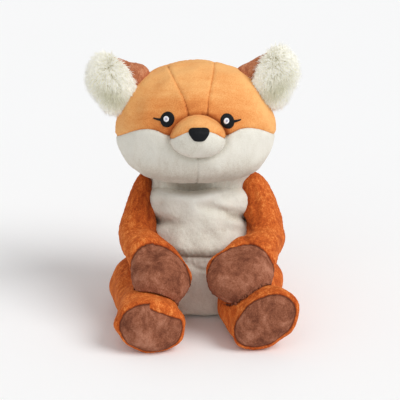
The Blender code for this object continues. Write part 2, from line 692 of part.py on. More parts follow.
def build_leg(side, sign, leg, sole_middle, obstacles):
    """A leg's cover with a sole at its end, and its stuffing, whose end is the ball in the hip."""
    pivot = leg.parent
    half = (SOLE_SHARE * FOOT_WIDTH[side] / 2, SOLE_SHARE * FOOT_HEIGHT[side] / 2)
    lean = -sign * FOOT_ROLL[side]
    centre = (sole_middle.x + sign * SOLE_OUT[side], sole_middle.z - SOLE_DROP)
    reach = (sole_middle.y - OVERRUN, sole_middle.y + SOLE_DEPTH)
    sole = make_cutter("sole_" + side, prism_mesh(oval(*half, lean, centre), *reach), pivot)
    around = oval(half[0] + GAP, half[1] + GAP, lean, centre)
    around_sole = make_cutter("around_sole_" + side, prism_mesh(around, *reach), pivot)
    leg.panel(f"leg_{side}_cover", ORANGE_PLUSH, (), (around_sole, *obstacles))
    leg.panel(f"leg_{side}_sole", BROWN_PLUSH, [sole], obstacles)
    leg.stuffing(f"leg_{side}_stuffing", obstacles)


def build_tail(pivot, obstacles):
    """The tail's cover, its cream tip, and its stuffing, whose end is the ball in the back."""
    path, sizes = [], []
    rows = ((TAIL_START_SHARE, 0, 0), *TAIL_SHAPE_SHARES, (1, 1, 0))
    rest = TAIL_WIDTH / 2 - FLOOR_CUT - TAIL_ROOT_HEIGHT
    for back, aside, swell in rows:
        path.append(np.array([aside * TAIL_CURL, back * TAIL_LENGTH, rest * min(back, swell)]))
        sizes.append((swell * TAIL_WIDTH / 2, swell * TAIL_WIDTH / 2))
    sections = spine_sections(path, sizes[1:-1])
    tail = Form("tail", sections, path[0], path[-1], SMALL_SIDES, COARSE_LEVELS, pivot)
    seam = TAIL_TIP_SHARE * TAIL_LENGTH
    wide = TAIL_LENGTH + TAIL_WIDTH
    root = make_cutter("tail_root", box_mesh((-wide, -wide, -wide), (wide, seam - GAP / 2, wide)), pivot)
    tip = make_cutter("tail_tip", box_mesh((-wide, seam + GAP / 2, -wide), (wide, wide, wide)), pivot)
    tail.panel("tail_cover", ORANGE_PLUSH, [root], obstacles)
    tail.panel("tail_tip", CREAM_PLUSH, [tip], obstacles)
    tail.stuffing("tail_stuffing", obstacles)


def ball_places(torso):
    """Each ball that the torso takes in: its middle, which lies on the joint's axis, and its radius."""
    top_middle = Vector((0, TORSO_SHAPE_SHARES[-1][3] * TORSO_DEPTH, TORSO_HEIGHT))
    balls = {"neck": (top_middle + Vector((0, 0, NECK_STAND)), NECK_RADIUS)}
    for side, sign in SIDES.items():
        aside = Vector((sign, 0, 0))
        shoulder = torso.surface(Vector((0, 0, SHOULDER_SHARE * TORSO_HEIGHT)), aside)
        hip = torso.surface(Vector((0, 0, HIP_HEIGHT)), aside)
        balls["shoulder_" + side] = (shoulder + aside * SHOULDER_STAND, SHOULDER_RADIUS)
        balls["hip_" + side] = (hip - aside * HIP_SINK, HIP_RADIUS)
    back = Vector((0, 1, 0))
    root = torso.surface(Vector((0, 0, TAIL_ROOT_HEIGHT)), back)
    balls["tail"] = (root + back * TAIL_STAND, TAIL_ROOT_RADIUS)
    return balls


def build_fox():
    wide, deep = TORSO_WIDTH * 2, TORSO_DEPTH * 2
    floor = make_cutter("floor", box_mesh((-wide, -deep, -OVERRUN), (wide, deep, 0.0)))
    torso = torso_form()
    balls = ball_places(torso)
    pivots, sockets, bodies = {}, {}, {}
    for name, (place, radius) in balls.items():
        pivots[name] = make_pivot(name + "_pivot", place)
        sockets[name] = make_cutter(name + "_socket", socket_mesh(radius), pivots[name])
        bodies[name] = torso.grown("beside_" + name, SWING_GAP)
        cut(bodies[name], make_cutter(name + "_ball", ball_mesh(radius), pivots[name]))
    build_torso(torso, tuple(sockets.values()))

    turn = Matrix.Rotation(HEAD_TURN, 4, "Z") @ Matrix.Rotation(-HEAD_TIP_BACK, 4, "X")
    head_pivot = make_pivot("head_pivot", balls["neck"][0], turn)
    make_piece("neck_plug", ball_mesh(NECK_RADIUS), pivots["neck"], STUFFING)
    build_head(head_pivot, sockets["neck"])

    for side, sign in SIDES.items():
        hip = pivots["hip_" + side]
        leg, sole_middle = leg_form(side, sign, hip)
        build_leg(side, sign, leg, sole_middle, (bodies["hip_" + side], floor))
        swept = [leg.grown("room", GAP)]
        room = leg.grown("swing_room", SWEEP_GAP).data
        for i, angle in enumerate(LEG_SWEEP):
            splay = Matrix.Rotation(sign * angle, 4, "Z")
            splayed = make_pivot(f"splayed_{side}_{i}", hip.location, splay)
            swept.append(make_cutter(f"splayed_leg_{side}_{i}", room, splayed))
        build_arm(side, sign, pivots["shoulder_" + side], (bodies["shoulder_" + side], *swept))
    build_tail(pivots["tail"], (bodies["tail"], floor))


clear_scene()
PARTS = make_collection("plush_fox")
CUTTERS = make_collection("cutters")
ORANGE_PLUSH = make_material("orange_plush", ORANGE, 0.9)
HEAD_PLUSH = make_material("head_plush", HEAD_ORANGE, 0.85)
CREAM_PLUSH = make_material("cream_plush", CREAM, 0.9)
BROWN_PLUSH = make_material("brown_plush", BROWN, 0.85)
EAR_PLUSH = make_material("ear_plush", EAR_BROWN, 0.9)
LONG_FUR = make_material("long_fur", FUR, 0.95)
BLACK_THREAD = make_material("black_thread", BLACK, 0.6)
WHITE_THREAD = make_material("white_thread", WHITE, 0.6)
STUFFING = make_material("stuffing", FILLING, 1.0)
BEAD_CLOTH = make_material("bead_cloth", BEADS, 0.9)
build_fox()
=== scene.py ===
# %% [markdown]
# # A seated plush fox, sewn from twenty-odd pieces of fabric
#
# The fox has a round head with long-furred ears, a cream belly, arms that bend in to brown paw pads,
# legs that lie forward on the floor and end in brown soles, and a tail behind. This script dresses the
# imported model: every cover becomes a fine skin with its seams, its creases and the nap of its pile.
#
# The imported model comes first, because every piece here moves with one of its bodies.

# %% The imported model
import math

import bpy
import numpy as np
from mathutils import Matrix, Vector


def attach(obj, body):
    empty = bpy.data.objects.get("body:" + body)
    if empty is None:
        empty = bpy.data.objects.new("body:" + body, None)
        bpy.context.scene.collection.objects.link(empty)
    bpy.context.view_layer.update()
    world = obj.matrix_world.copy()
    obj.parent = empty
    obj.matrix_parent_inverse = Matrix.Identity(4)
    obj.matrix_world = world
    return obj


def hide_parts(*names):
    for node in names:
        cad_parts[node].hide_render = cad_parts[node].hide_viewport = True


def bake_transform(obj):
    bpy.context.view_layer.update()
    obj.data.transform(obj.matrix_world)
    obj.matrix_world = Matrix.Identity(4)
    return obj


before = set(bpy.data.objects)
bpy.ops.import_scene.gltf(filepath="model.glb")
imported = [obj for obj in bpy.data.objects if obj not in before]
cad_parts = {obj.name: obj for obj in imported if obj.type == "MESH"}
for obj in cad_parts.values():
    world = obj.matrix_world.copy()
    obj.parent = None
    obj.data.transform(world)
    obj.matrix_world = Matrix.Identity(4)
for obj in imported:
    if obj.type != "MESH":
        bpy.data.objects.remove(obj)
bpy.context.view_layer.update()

# %% [markdown]
# ## Camera, floor and light
#
# The photograph looks down on the toy by about 20 degrees from 1.3 m away. A long lens keeps its forms
# nearly parallel: one pixel of the 400 is 1.14 mm at the toy.
#
# The floor is one pale sheet. Its light is a wide soft sun high on the viewer's right, which lays the
# shadow out to the left, a weaker one in front, and a pale world that fills the rest. The camera sees the
# world brighter than the toy does, so that the backdrop is nearly white while the light stays gentle. A sun
# is as strong far away as near, so the floor keeps one tone up to the horizon.

# %% Camera
PICTURE_PIXELS, PIXEL = 400, 0.00114
DISTANCE = 1.3
SENSOR = 36.0
VIEW_DOWN = math.radians(20.0)
TARGET = Vector((0.0, 0.0, 0.1212))

camera = bpy.data.objects.new("camera", bpy.data.cameras.new("camera"))
bpy.context.scene.collection.objects.link(camera)
camera.data.sensor_width = SENSOR
camera.data.lens = SENSOR * DISTANCE / (PICTURE_PIXELS * PIXEL)
toward_camera = Vector((0.0, -math.cos(VIEW_DOWN), math.sin(VIEW_DOWN)))
camera.location = TARGET + toward_camera * DISTANCE
camera.rotation_euler = (-toward_camera).to_track_quat("-Z", "Y").to_euler()
bpy.context.scene.camera = camera
bpy.context.scene.view_settings.view_transform = "Standard"
print("lens", round(camera.data.lens, 1), "mm")

# %% Lamps and world
def soft_sun(name, place, strength, spread):
    """A sun that shines from place towards the toy; spread, its angle across, makes its shadows soft."""
    lamp = bpy.data.objects.new(name, bpy.data.lights.new(name, "SUN"))
    bpy.context.scene.collection.objects.link(lamp)
    lamp.data.energy = strength
    lamp.data.angle = math.radians(spread)
    lamp.rotation_euler = (-Vector(place)).to_track_quat("-Z", "Y").to_euler()
    return lamp


WORLD_LIGHT, WORLD_SEEN = 0.50, 0.935
soft_sun("key_light", (1.0, -0.55, 1.15), strength=1.90, spread=34.0)
soft_sun("front_light", (-0.30, -1.0, 0.75), strength=0.32, spread=60.0)
world = bpy.data.worlds.new("world")
bpy.context.scene.world = world
world.use_nodes = True
sky = world.node_tree.nodes["Background"]
sky.inputs["Color"].default_value = (1.0, 1.0, 1.0, 1.0)
ray = world.node_tree.nodes.new("ShaderNodeLightPath")
level = world.node_tree.nodes.new("ShaderNodeMapRange")
level.inputs["To Min"].default_value = WORLD_LIGHT
level.inputs["To Max"].default_value = WORLD_SEEN
world.node_tree.links.new(ray.outputs["Is Camera Ray"], level.inputs["Value"])
world.node_tree.links.new(level.outputs["Result"], sky.inputs["Strength"])

# %% [markdown]
# ## A small language for materials
#
# A finish is a few sums on textures. To keep them readable, `Wire` wraps one socket of a material: an
# operator between two wires, or a wire and a number, adds the Math node that works it out. Colours go
# through `mix`, because a Math node would turn them grey. Every other node comes from `node`.

# %% Wires
class Wire:
    """One output socket in a material's tree, with arithmetic on it."""

    def __init__(self, tree, socket):
        self.tree = tree
        self.socket = socket

    def node(self, kind, settings=None, output=0, **values):
        """Adds a node: settings are its own properties, values its inputs by name (_ stands for a space)."""
        made = self.tree.nodes.new(kind)
        for key, value in (settings or {}).items():
            setattr(made, key, value)
        for key, value in values.items():
            self.plug(made.inputs[key.replace("_", " ")], value)
        return Wire(self.tree, made.outputs[output])

    def plug(self, target, value):
        """A wire is linked to the target socket, and a number or colour is set on it."""
        if isinstance(value, Wire):
            self.tree.links.new(value.socket, target)
        else:
            target.default_value = value

    def math(self, operation, *values):
        """A Math node of that operation on wires and numbers."""
        made = self.tree.nodes.new("ShaderNodeMath")
        made.operation = operation
        for target, value in zip(made.inputs, values):
            self.plug(target, value)
        return Wire(self.tree, made.outputs[0])

    def __add__(self, other):
        return self.math("ADD", self, other)

    def __sub__(self, other):
        return self.math("SUBTRACT", self, other)

    def __mul__(self, other):
        return self.math("MULTIPLY", self, other)

    def __pow__(self, other):
        return self.math("POWER", self, other)

    def __rsub__(self, other):
        return self.math("SUBTRACT", other, self)

    __radd__ = __add__
    __rmul__ = __mul__

    def between(self, low, high):
        """0 where the wire is at low, 1 where it is at high, and held in that range."""
        return self.node("ShaderNodeMapRange", Value=self, From_Min=low, From_Max=high)

    def mix(self, first, second):
        """The colour first where this wire is 0 and second where it is 1."""
        made = self.tree.nodes.new("ShaderNodeMix")
        made.data_type = "RGBA"
        self.plug(made.inputs["Factor"], self)
        self.plug(made.inputs[6], first)
        self.plug(made.inputs[7], second)
        return Wire(self.tree, made.outputs[2])


def new_finish(name):
    """A material, its shader node, and a wire of the object's own coordinates in metres."""
    finish = bpy.data.materials.new(name)
    finish.use_nodes = True
    tree = finish.node_tree
    shader = tree.nodes["Principled BSDF"]
    coordinates = tree.nodes.new("ShaderNodeTexCoord")
    return finish, shader, Wire(tree, coordinates.outputs["Object"])

# %% [markdown]
# ## Plush
#
# Plush is a pile of short fibres. Four things make it look so: grains a millimetre across where fibres
# stand in tufts, patches where a hand has brushed the pile the other way, which turn it lighter or darker,
# fine streaks along the fibres, and a soft bloom at grazing angles, which is the shader's sheen. Short
# smooth plush on the head has faint patches, while the deep pile of the limbs and pads is strongly marked.
# Each cover paints shade into its colour in seams, folds and hollows and on sides turned from the light,
# and painted light where the light falls, both as the attribute shade.

# %% The plush finish
def plush(name, dark, middle, light, patch, brush, grain=0.0013, comb=(1.0, 0.8, 0.55), streak=0.5,
          rough=0.85, relief=0.0005, sheen=0.30, deep=0.45, speckle=0.8):
    """Pile whose colour runs from dark over middle to light.

    The tone is 0.5 + brush * (patches of that size) + streak * (fine streaks) + speckle * (grains), and less
    where the attribute shade is high, which is painted shade; below 0 that attribute is painted light. Where
    it is high the colour also falls to deep times dark. The smaller a number of comb, the longer the patches
    and streaks are drawn along that axis.
    """
    finish, shader, place = new_finish(name)
    shade = place.node("ShaderNodeAttribute", {"attribute_name": "shade"}, 2)
    drift = place.node("ShaderNodeTexNoise", {"noise_dimensions": "3D"}, 1,
                       Vector=place, Scale=0.35 / patch, Detail=2.0)
    bent = place.node("ShaderNodeVectorMath", {"operation": "MULTIPLY_ADD"})
    bent_node = bent.socket.node
    place.plug(bent_node.inputs[0], drift)
    place.plug(bent_node.inputs[1], (patch * 1.6,) * 3)
    place.plug(bent_node.inputs[2], place)
    combed = place.node("ShaderNodeMapping", Vector=bent, Scale=comb)
    patches = place.node("ShaderNodeTexNoise", Vector=combed, Scale=1.0 / patch, Detail=3.0, Roughness=0.55)
    fine = place.node("ShaderNodeMapping", Vector=bent, Scale=tuple(3.2 * c**2 for c in comb))
    streaks = place.node("ShaderNodeTexNoise", Vector=fine, Scale=1.0 / patch, Detail=2.0, Roughness=0.65)
    tufts = place.node("ShaderNodeTexNoise", Vector=place, Scale=1.0 / grain, Detail=2.0, Roughness=0.6)
    tone = (patches - 0.5) * brush + (streaks - 0.5) * streak + (tufts - 0.5) * speckle + 0.5 - shade * 0.35
    lower = tone.between(0.12, 0.5).mix(dark, middle)
    colour = tone.between(0.5, 0.88).mix(lower, light)
    # Under full painted shade the colour falls to deep times dark.
    painted_shade_colour = tuple(deep * c for c in dark[:3]) + (1,)
    place.plug(shader.inputs["Base Color"], shade.between(0.25, 1.25).mix(colour, painted_shade_colour))
    place.plug(shader.inputs["Roughness"], rough)
    place.plug(shader.inputs["Specular IOR Level"], 0.15)
    place.plug(shader.inputs["Sheen Weight"], sheen)
    place.plug(shader.inputs["Sheen Roughness"], 0.45)
    place.plug(shader.inputs["Sheen Tint"], light)
    height = tufts * 0.7 + patches * 0.6 + streaks * 0.4
    bump = place.node("ShaderNodeBump", Strength=0.8, Distance=relief, Height=height)
    place.plug(shader.inputs["Normal"], bump)
    return finish


BODY_ORANGE = plush("deep_orange_plush", (0.31, 0.044, 0.007, 1), (0.57, 0.115, 0.018, 1),
                    (0.86, 0.290, 0.070, 1), patch=0.009, brush=0.90, comb=(1.0, 0.9, 0.45), streak=0.9,
                    sheen=0.5)
HEAD_ORANGE = plush("head_orange_plush", (0.52, 0.135, 0.028, 1), (0.75, 0.285, 0.078, 1),
                    (0.90, 0.475, 0.175, 1), patch=0.026, brush=0.7, grain=0.0011, comb=(0.45, 0.8, 1.3),
                    streak=0.30, rough=0.75, relief=0.0003, sheen=0.22)
CREAM = plush("cream_plush", (0.47, 0.40, 0.31, 1), (0.71, 0.68, 0.595, 1), (0.83, 0.81, 0.74, 1),
              patch=0.016, brush=0.42, streak=0.25, speckle=0.45)
BROWN = plush("brown_pad_plush", (0.135, 0.038, 0.019, 1), (0.272, 0.093, 0.048, 1),
              (0.45, 0.190, 0.115, 1), patch=0.013, brush=1.50, comb=(0.8, 1.0, 0.6), streak=0.75, sheen=0.15)
EAR_BROWN = plush("ear_brown_plush", (0.26, 0.075, 0.034, 1), (0.46, 0.160, 0.075, 1),
                  (0.68, 0.32, 0.17, 1), patch=0.007, brush=1.0, streak=0.6)
print("finishes", len(bpy.data.materials))

# %% Fur and thread
def long_fur():
    """Long cream fibres: yellow-grey near the skin, pale at the tips, as the attribute tip_share says.

    The yellow-grey near the skin is painted shade deep in the fur, and where the attribute strand_shade is
    low the colour is darker still: painted shade in the ear's hollow, and tone that differs from strand to
    strand. The fibres also glow a little, a painted light that stands in for the light that passes through
    real fibres.
    """
    finish, shader, place = new_finish("long_cream_fur")
    share = place.node("ShaderNodeAttribute", {"attribute_name": "tip_share"}, 2)
    shade = place.node("ShaderNodeAttribute", {"attribute_name": "strand_shade"}, 2)
    deep = shade.mix((0.34, 0.32, 0.19, 1), (0.72, 0.69, 0.54, 1))
    tip = shade.mix((0.66, 0.64, 0.49, 1), (0.99, 0.98, 0.935, 1))
    colour = share.between(0.05, 0.75).mix(deep, tip)
    place.plug(shader.inputs["Base Color"], colour)
    place.plug(shader.inputs["Roughness"], 0.8)
    place.plug(shader.inputs["Specular IOR Level"], 0.2)
    place.plug(shader.inputs["Sheen Weight"], 0.5)
    # A painted glow: the fur gives off a little light of its own.
    place.plug(shader.inputs["Emission Color"], colour)
    place.plug(shader.inputs["Emission Strength"], 0.26)
    return finish


def thread(name, colour, edge):
    """Satin stitch: threads side by side, half a millimetre apart, that catch the light on their backs."""
    finish, shader, place = new_finish(name)
    rows = place.node("ShaderNodeTexWave", {"bands_direction": "X"}, 1, Vector=place, Scale=350.0,
                      Distortion=1.5, Detail=1.0)
    # The lighter rows are a painted highlight where the threads catch the light.
    place.plug(shader.inputs["Base Color"], rows.mix(colour, edge))
    place.plug(shader.inputs["Roughness"], 0.5)
    place.plug(shader.inputs["Specular IOR Level"], 0.12)
    bump = place.node("ShaderNodeBump", Strength=0.6, Distance=0.0002, Height=rows)
    place.plug(shader.inputs["Normal"], bump)
    return finish


FUR = long_fur()
BLACK_THREAD = thread("black_thread", (0.005, 0.006, 0.007, 1), (0.012, 0.013, 0.015, 1))
WHITE_THREAD = thread("white_thread", (0.80, 0.80, 0.83, 1), (0.90, 0.90, 0.92, 1))
LILAC_THREAD = thread("lilac_thread", (0.42, 0.40, 0.52, 1), (0.52, 0.50, 0.62, 1))
print("finishes", len(bpy.data.materials))

# %% Floor
def floor_finish():
    """A pale matt floor with the faintest cloudiness."""
    finish, shader, place = new_finish("pale_floor")
    clouds = place.node("ShaderNodeTexNoise", Vector=place, Scale=1.5, Detail=1.0)
    place.plug(shader.inputs["Base Color"], clouds.mix((0.950, 0.954, 0.958, 1), (0.965, 0.969, 0.973, 1)))
    place.plug(shader.inputs["Roughness"], 0.9)
    place.plug(shader.inputs["Specular IOR Level"], 0.1)
    return finish


FLOOR_HALF, FLOOR_UNDER = 12.0, 0.0002
floor_mesh = bpy.data.meshes.new("floor")
corners = np.array([(-1, -1, 0), (1, -1, 0), (1, 1, 0), (-1, 1, 0)]) * FLOOR_HALF - (0, 0, FLOOR_UNDER)
floor_mesh.from_pydata(corners.tolist(), [], [(0, 1, 2, 3)])
floor = bpy.data.objects.new("floor", floor_mesh)
bpy.context.scene.collection.objects.link(floor)
floor_mesh.materials.append(floor_finish())
print("floor", 2 * FLOOR_HALF, "m across")

# %% [markdown]
# ## The shape of a stuffed form
#
# A limb filled with fibre has no flat side: it is an oval that swells, bends and closes. So each form is
# given by a few oval sections along a spine and the points where it closes. A cubic B-spline through the
# sections makes it one smooth surface of two parameters, the angle around and the way along. A subdivided
# cage of quads could make such a form too, but here each section keeps a width that was measured.

# %% Surface of a form
def unit(vectors):
    """The vectors, each divided by its own length."""
    return vectors / np.linalg.norm(vectors, axis=-1, keepdims=True)


def section(centre, across, upward):
    """One oval: its centre and its two half axes, as nine numbers."""
    return np.array([*centre, *across, *upward], float)


def spine_sections(path, sizes, roll=0.0):
    """Ovals square to a path of centres, each with its half width and half height, turned by roll."""
    path = np.asarray(path, float)
    along = unit(path[2:] - path[:-2])
    level = unit(np.array([1.0, 0.0, 0.0]) - along * along[:, :1])
    upright = np.cross(along, level)
    across = level * math.cos(roll) + upright * math.sin(roll)
    sizes = np.asarray(sizes, float)
    return np.hstack([path[1:-1], across * sizes[:, :1], np.cross(along, across) * sizes[:, 1:]])


class Form:
    """A closed surface through oval sections.

    A cubic B-spline passes its row i at (row[i-1] + 4 row[i] + row[i+1]) / 6, so the rows are the solution
    of that system. Beyond each closing point stands the last row with its axes turned round, which makes
    the end a smooth dome.
    """

    def __init__(self, sections, start, end):
        sections = np.asarray(sections, float)
        count = len(sections)
        system = 4 * np.eye(count + 2) + np.eye(count + 2, k=1) + np.eye(count + 2, k=-1)
        system[0, 1] = system[-1, -2] = 2
        wanted = np.zeros((count + 2, 9))
        wanted[0, :3], wanted[1:-1], wanted[-1, :3] = start, sections, end
        rows = np.zeros((count + 2, 9))
        rows[:, :3] = np.linalg.solve(system, 6 * wanted[:, :3])
        rows[1:-1, 3:] = np.linalg.solve(self.inner(count), 6 * wanted[1:-1, 3:])
        mirror = np.array([1, 1, 1] + [-1] * 6)
        self.rows = np.vstack([rows[1] * mirror, rows, rows[-2] * mirror])
        self.last = count + 1

    @staticmethod
    def inner(count):
        """The same system for the axes, which are nothing at both closing points."""
        return 4 * np.eye(count) + np.eye(count, k=1) + np.eye(count, k=-1)

    def at(self, around, along):
        """centre + across * cos(around) + upward * sin(around), each a cubic of the way along."""
        i = np.clip(along.astype(int), 0, self.last - 1)
        f = (along - i)[..., None]
        weights = ((1 - f) ** 3, 3 * f**3 - 6 * f**2 + 4, -3 * f**3 + 3 * f**2 + 3 * f + 1, f**3)
        row = sum(w * self.rows[i + k] for k, w in enumerate(weights)) / 6
        turn = around[..., None]
        return row[..., :3] + row[..., 3:6] * np.cos(turn) + row[..., 6:] * np.sin(turn)

    def skin(self, spacing):
        """The form as a fine mesh: its rings lie spacing apart, and so do their points at the widest."""
        ways = np.linspace(0, self.last, 400)
        angles = np.linspace(0, 2 * np.pi, 24, endpoint=False)
        sample = self.at(*np.meshgrid(angles, ways))
        steps = np.linalg.norm(np.diff(sample, axis=0), axis=-1).mean(1)
        walked = np.concatenate([[0], np.cumsum(steps)])
        girth = np.linalg.norm(np.diff(sample, axis=1, append=sample[:, :1]), axis=-1).sum(1).max()
        rings = int(walked[-1] / spacing)
        columns = int(girth / spacing)
        along = np.interp(np.linspace(0, walked[-1], rings + 1), walked, ways)[1:-1]
        around = np.linspace(0, 2 * np.pi, columns, endpoint=False)
        grid = self.at(*np.meshgrid(around, along)).reshape(-1, 3)
        poles = self.at(np.zeros(2), np.array([0.0, self.last]))
        return Skin(np.vstack([grid, poles]), closed_grid(len(along), columns))


def closed_grid(rings, columns):
    """Triangles of rings of points, numbered row by row, closed round and by one more point at each end."""
    index = np.arange(rings * columns).reshape(rings, columns)
    beside = np.roll(index, -1, axis=1)
    a, b, c, d = index[:-1], beside[:-1], beside[1:], index[1:]
    sides = np.concatenate([np.stack([a, b, c], -1), np.stack([a, c, d], -1)]).reshape(-1, 3)
    low, high = np.full(columns, rings * columns), np.full(columns, rings * columns + 1)
    first = np.stack([low, beside[0], index[0]], -1)
    last = np.stack([high, index[-1], beside[-1]], -1)
    return np.concatenate([sides, first, last])

# %% [markdown]
# ## Skins, seams and folds
#
# A cover is one surface that is cut into panels along its seams. At a seam the fabric is drawn in to the
# stitches, and small puckers run away from it. Both are moves along the surface's own normal, by a
# function of the distance to the seam. The cut itself follows the seam exactly: a triangle that crosses
# it is divided there, so the panels share their edge.

# %% The skin
class Skin:
    """A surface as arrays of points and triangles, which face outwards, and marks.

    A mark is one number per point under a name, such as the distance to a seam. It is taken before the
    surface is pushed about, so that a seam runs smoothly through the lumps.
    """

    def __init__(self, points, triangles):
        """The sum below is six times the volume inside, so it is below 0 where the triangles face inwards."""
        self.points = points
        self.triangles = triangles
        self.marks = {}
        a, b, c = (points[triangles[:, k]] for k in range(3))
        if (a * np.cross(b, c)).sum() < 0:
            self.triangles = triangles[:, ::-1]

    def normals(self):
        """At each point, the mean of its triangles' normals, weighted by their areas."""
        a, b, c = (self.points[self.triangles[:, k]] for k in range(3))
        face = np.cross(b - a, c - a)
        total = np.zeros_like(self.points)
        for k in range(3):
            for axis in range(3):
                total[:, axis] += np.bincount(self.triangles[:, k], face[:, axis], len(self.points))
        return total / np.maximum(np.linalg.norm(total, axis=1, keepdims=True), 1e-12)

    def push(self, amount):
        """Moves each point out along its normal by its own amount."""
        self.points = self.points + self.normals() * np.asarray(amount)[:, None]

    def relax(self, rounds):
        """Rounds off tight bends: in each round a point goes half way to the mean of its neighbours."""
        pairs = np.vstack([np.roll(self.triangles, turn, axis=1)[:, :2] for turn in range(3)])
        pairs = np.vstack([pairs, pairs[:, ::-1]])
        count = np.bincount(pairs[:, 0], minlength=len(self.points))
        for _ in range(rounds):
            total = [np.bincount(pairs[:, 0], self.points[pairs[:, 1], axis], len(count))
                     for axis in range(3)]
            self.points = 0.5 * self.points + 0.5 * np.stack(total / count, axis=1)

    def darken(self, amount):
        """Adds to the mark shade, which the finish turns into a darker colour."""
        self.marks["shade"] = np.asarray(self.marks.get("shade", 0.0) + amount)

    def split(self, name):
        """The part where that mark is above 0 and the part where it is below.

        A triangle that crosses 0 is divided where the mark, read as linear along its edges, is 0. One of its
        corners, a, stands alone: the cut leaves a tip there, and a stump of two triangles at b and c.
        """
        field = np.where(np.abs(self.marks[name]) < 1e-7, 1e-7, self.marks[name])
        above = field > 0
        corner_above = above[self.triangles]
        count = corner_above.sum(1)
        crossed = self.triangles[(count == 1) | (count == 2)]
        flags = above[crossed]
        lone_is_above = flags.sum(1) == 1
        lone = np.argmax(flags == lone_is_above[:, None], axis=1)
        order = (lone[:, None] + np.arange(3)) % 3
        a, b, c = np.take_along_axis(crossed, order, 1).T
        pairs = np.sort(np.vstack([np.stack([a, b], 1), np.stack([a, c], 1)]), axis=1)
        edges, where = np.unique(pairs, axis=0, return_inverse=True)
        where = where.reshape(-1)
        f0, f1 = field[edges[:, 0]], field[edges[:, 1]]
        share = f0 / (f0 - f1)
        fresh = mix(self.points[edges[:, 0]], self.points[edges[:, 1]], share[:, None])
        points = np.vstack([self.points, fresh])
        marks = {key: np.concatenate([mark, mix(mark[edges[:, 0]], mark[edges[:, 1]], share)])
                 for key, mark in self.marks.items()}
        ab, ac = where[:len(a)] + len(self.points), where[len(a):] + len(self.points)
        tips = np.stack([a, ab, ac], 1)
        stumps = np.vstack([np.stack([ab, b, c], 1), np.stack([ab, c, ac], 1)])
        twice = np.concatenate([lone_is_above, lone_is_above])
        whole = self.triangles[count == 3], self.triangles[count == 0]
        upper = np.vstack([whole[0], tips[lone_is_above], stumps[~twice]])
        lower = np.vstack([whole[1], tips[~lone_is_above], stumps[twice]])
        return part_of(points, upper, marks), part_of(points, lower, marks)


def mix(first, second, share):
    """first where share is 0, second where it is 1, and in proportion between."""
    return first + (second - first) * share


def part_of(points, triangles, marks):
    """A skin of only these triangles, with the points that they use.

    It is an open surface, so it is made without __init__, whose test of the volume would mislead there.
    """
    used, index = np.unique(triangles, return_inverse=True)
    part = Skin.__new__(Skin)
    part.points, part.triangles = points[used], index.reshape(-1, 3)
    part.marks = {key: mark[used] for key, mark in marks.items()}
    return part


# %% Lumps and seams
def cloud(points, size, seed):
    """Soft lumps about size across: the sum of 20 cosine waves in directions drawn from the seed."""
    dice = np.random.default_rng(seed)
    waves = unit(dice.normal(size=(20, 3))) * dice.uniform(0.6, 1.5, (20, 1)) * 2 * np.pi / size
    return np.cos(points @ waves.T + dice.uniform(0, 2 * np.pi, 20)).sum(-1) / math.sqrt(10)


def bell(distance, width):
    """exp(-(distance / width)^2): 1 at the seam and next to nothing at twice the width."""
    return np.exp(-((distance / width) ** 2))


def ramp(values, start, end):
    """0 where the values are at start, 1 where they are at end, and held in that range."""
    return np.clip((values - start) / (end - start), 0, 1)


def eased(share):
    """share^2 * (3 - 2 * share): from 0 to 1 with a soft start and a soft end."""
    return share**2 * (3 - 2 * share)


def sew(skin, distance, depth=0.0016, width=0.0022, puckers=0.00030, dark=0.9, line=0.0010):
    """Draws the fabric in at a seam, puckers it for 7 mm on both sides and darkens the line itself."""
    wrinkled = puckers * cloud(skin.points, 0.006, 3) * bell(distance, 0.007)
    skin.push(wrinkled - depth * bell(distance, width))
    # The dark line along the seam is painted shade.
    skin.darken(dark * bell(distance, line))


def nap(points, seed, lumps=0.0007, tufts=0.00012):
    """The unevenness of a stuffed cover: soft lumps of filling 30 mm across and tufts of pile 4 mm across."""
    return lumps * cloud(points, 0.030, seed) + tufts * cloud(points, 0.0042, seed + 1)


# %% Paths and folds
def smooth_path(points, count):
    """A curve through the points. Between two of them it is the Catmull-Rom cubic of the four nearest."""
    points = np.asarray(points, float)
    padded = np.vstack([2 * points[0] - points[1], points, 2 * points[-1] - points[-2]])
    t = np.linspace(0, len(points) - 1, count)
    i = np.minimum(t.astype(int), len(points) - 2)
    f = (t - i)[:, None]
    p0, p1, p2, p3 = (padded[i + k] for k in range(4))
    return 0.5 * (2 * p1 + (p2 - p0) * f + (2 * p0 - 5 * p1 + 4 * p2 - p3) * f**2
                  + (3 * p1 - p0 - 3 * p2 + p3) * f**3)


def along_path(points, path):
    """For points in a plane: the distance to a path, and how far along it the nearest place is, 0 to 1."""
    a, b = path[:-1], path[1:]
    best, place = np.full(len(points), np.inf), np.zeros(len(points))
    for k in range(len(a)):
        step = b[k] - a[k]
        share = np.clip(((points - a[k]) @ step) / (step @ step), 0, 1)
        distance = np.linalg.norm(points - a[k] - share[:, None] * step, axis=1)
        nearer = distance < best
        best[nearer], place[nearer] = distance[nearer], (k + share[nearer]) / len(a)
    return best, place


def fold(skin, path, depth, width, pocket=False, dark=0.5):
    """A fold along a path in the front view, which is darker at its bottom.

    It is deepest in its middle, as sin(pi * place)^0.7, or as a pocket at its start, (1 - place)^1.3.
    """
    distance, place = along_path(skin.points[:, [0, 2]], smooth_path(path, 24))
    fade = (1 - place) ** 1.3 if pocket else np.sin(np.pi * place) ** 0.7
    fade = fade * (skin.points[:, 1] < 0)
    # Painted shade along the fold's bottom.
    skin.darken(dark * bell(distance, width * 0.8) * fade)
    return -depth * bell(distance, width) * fade


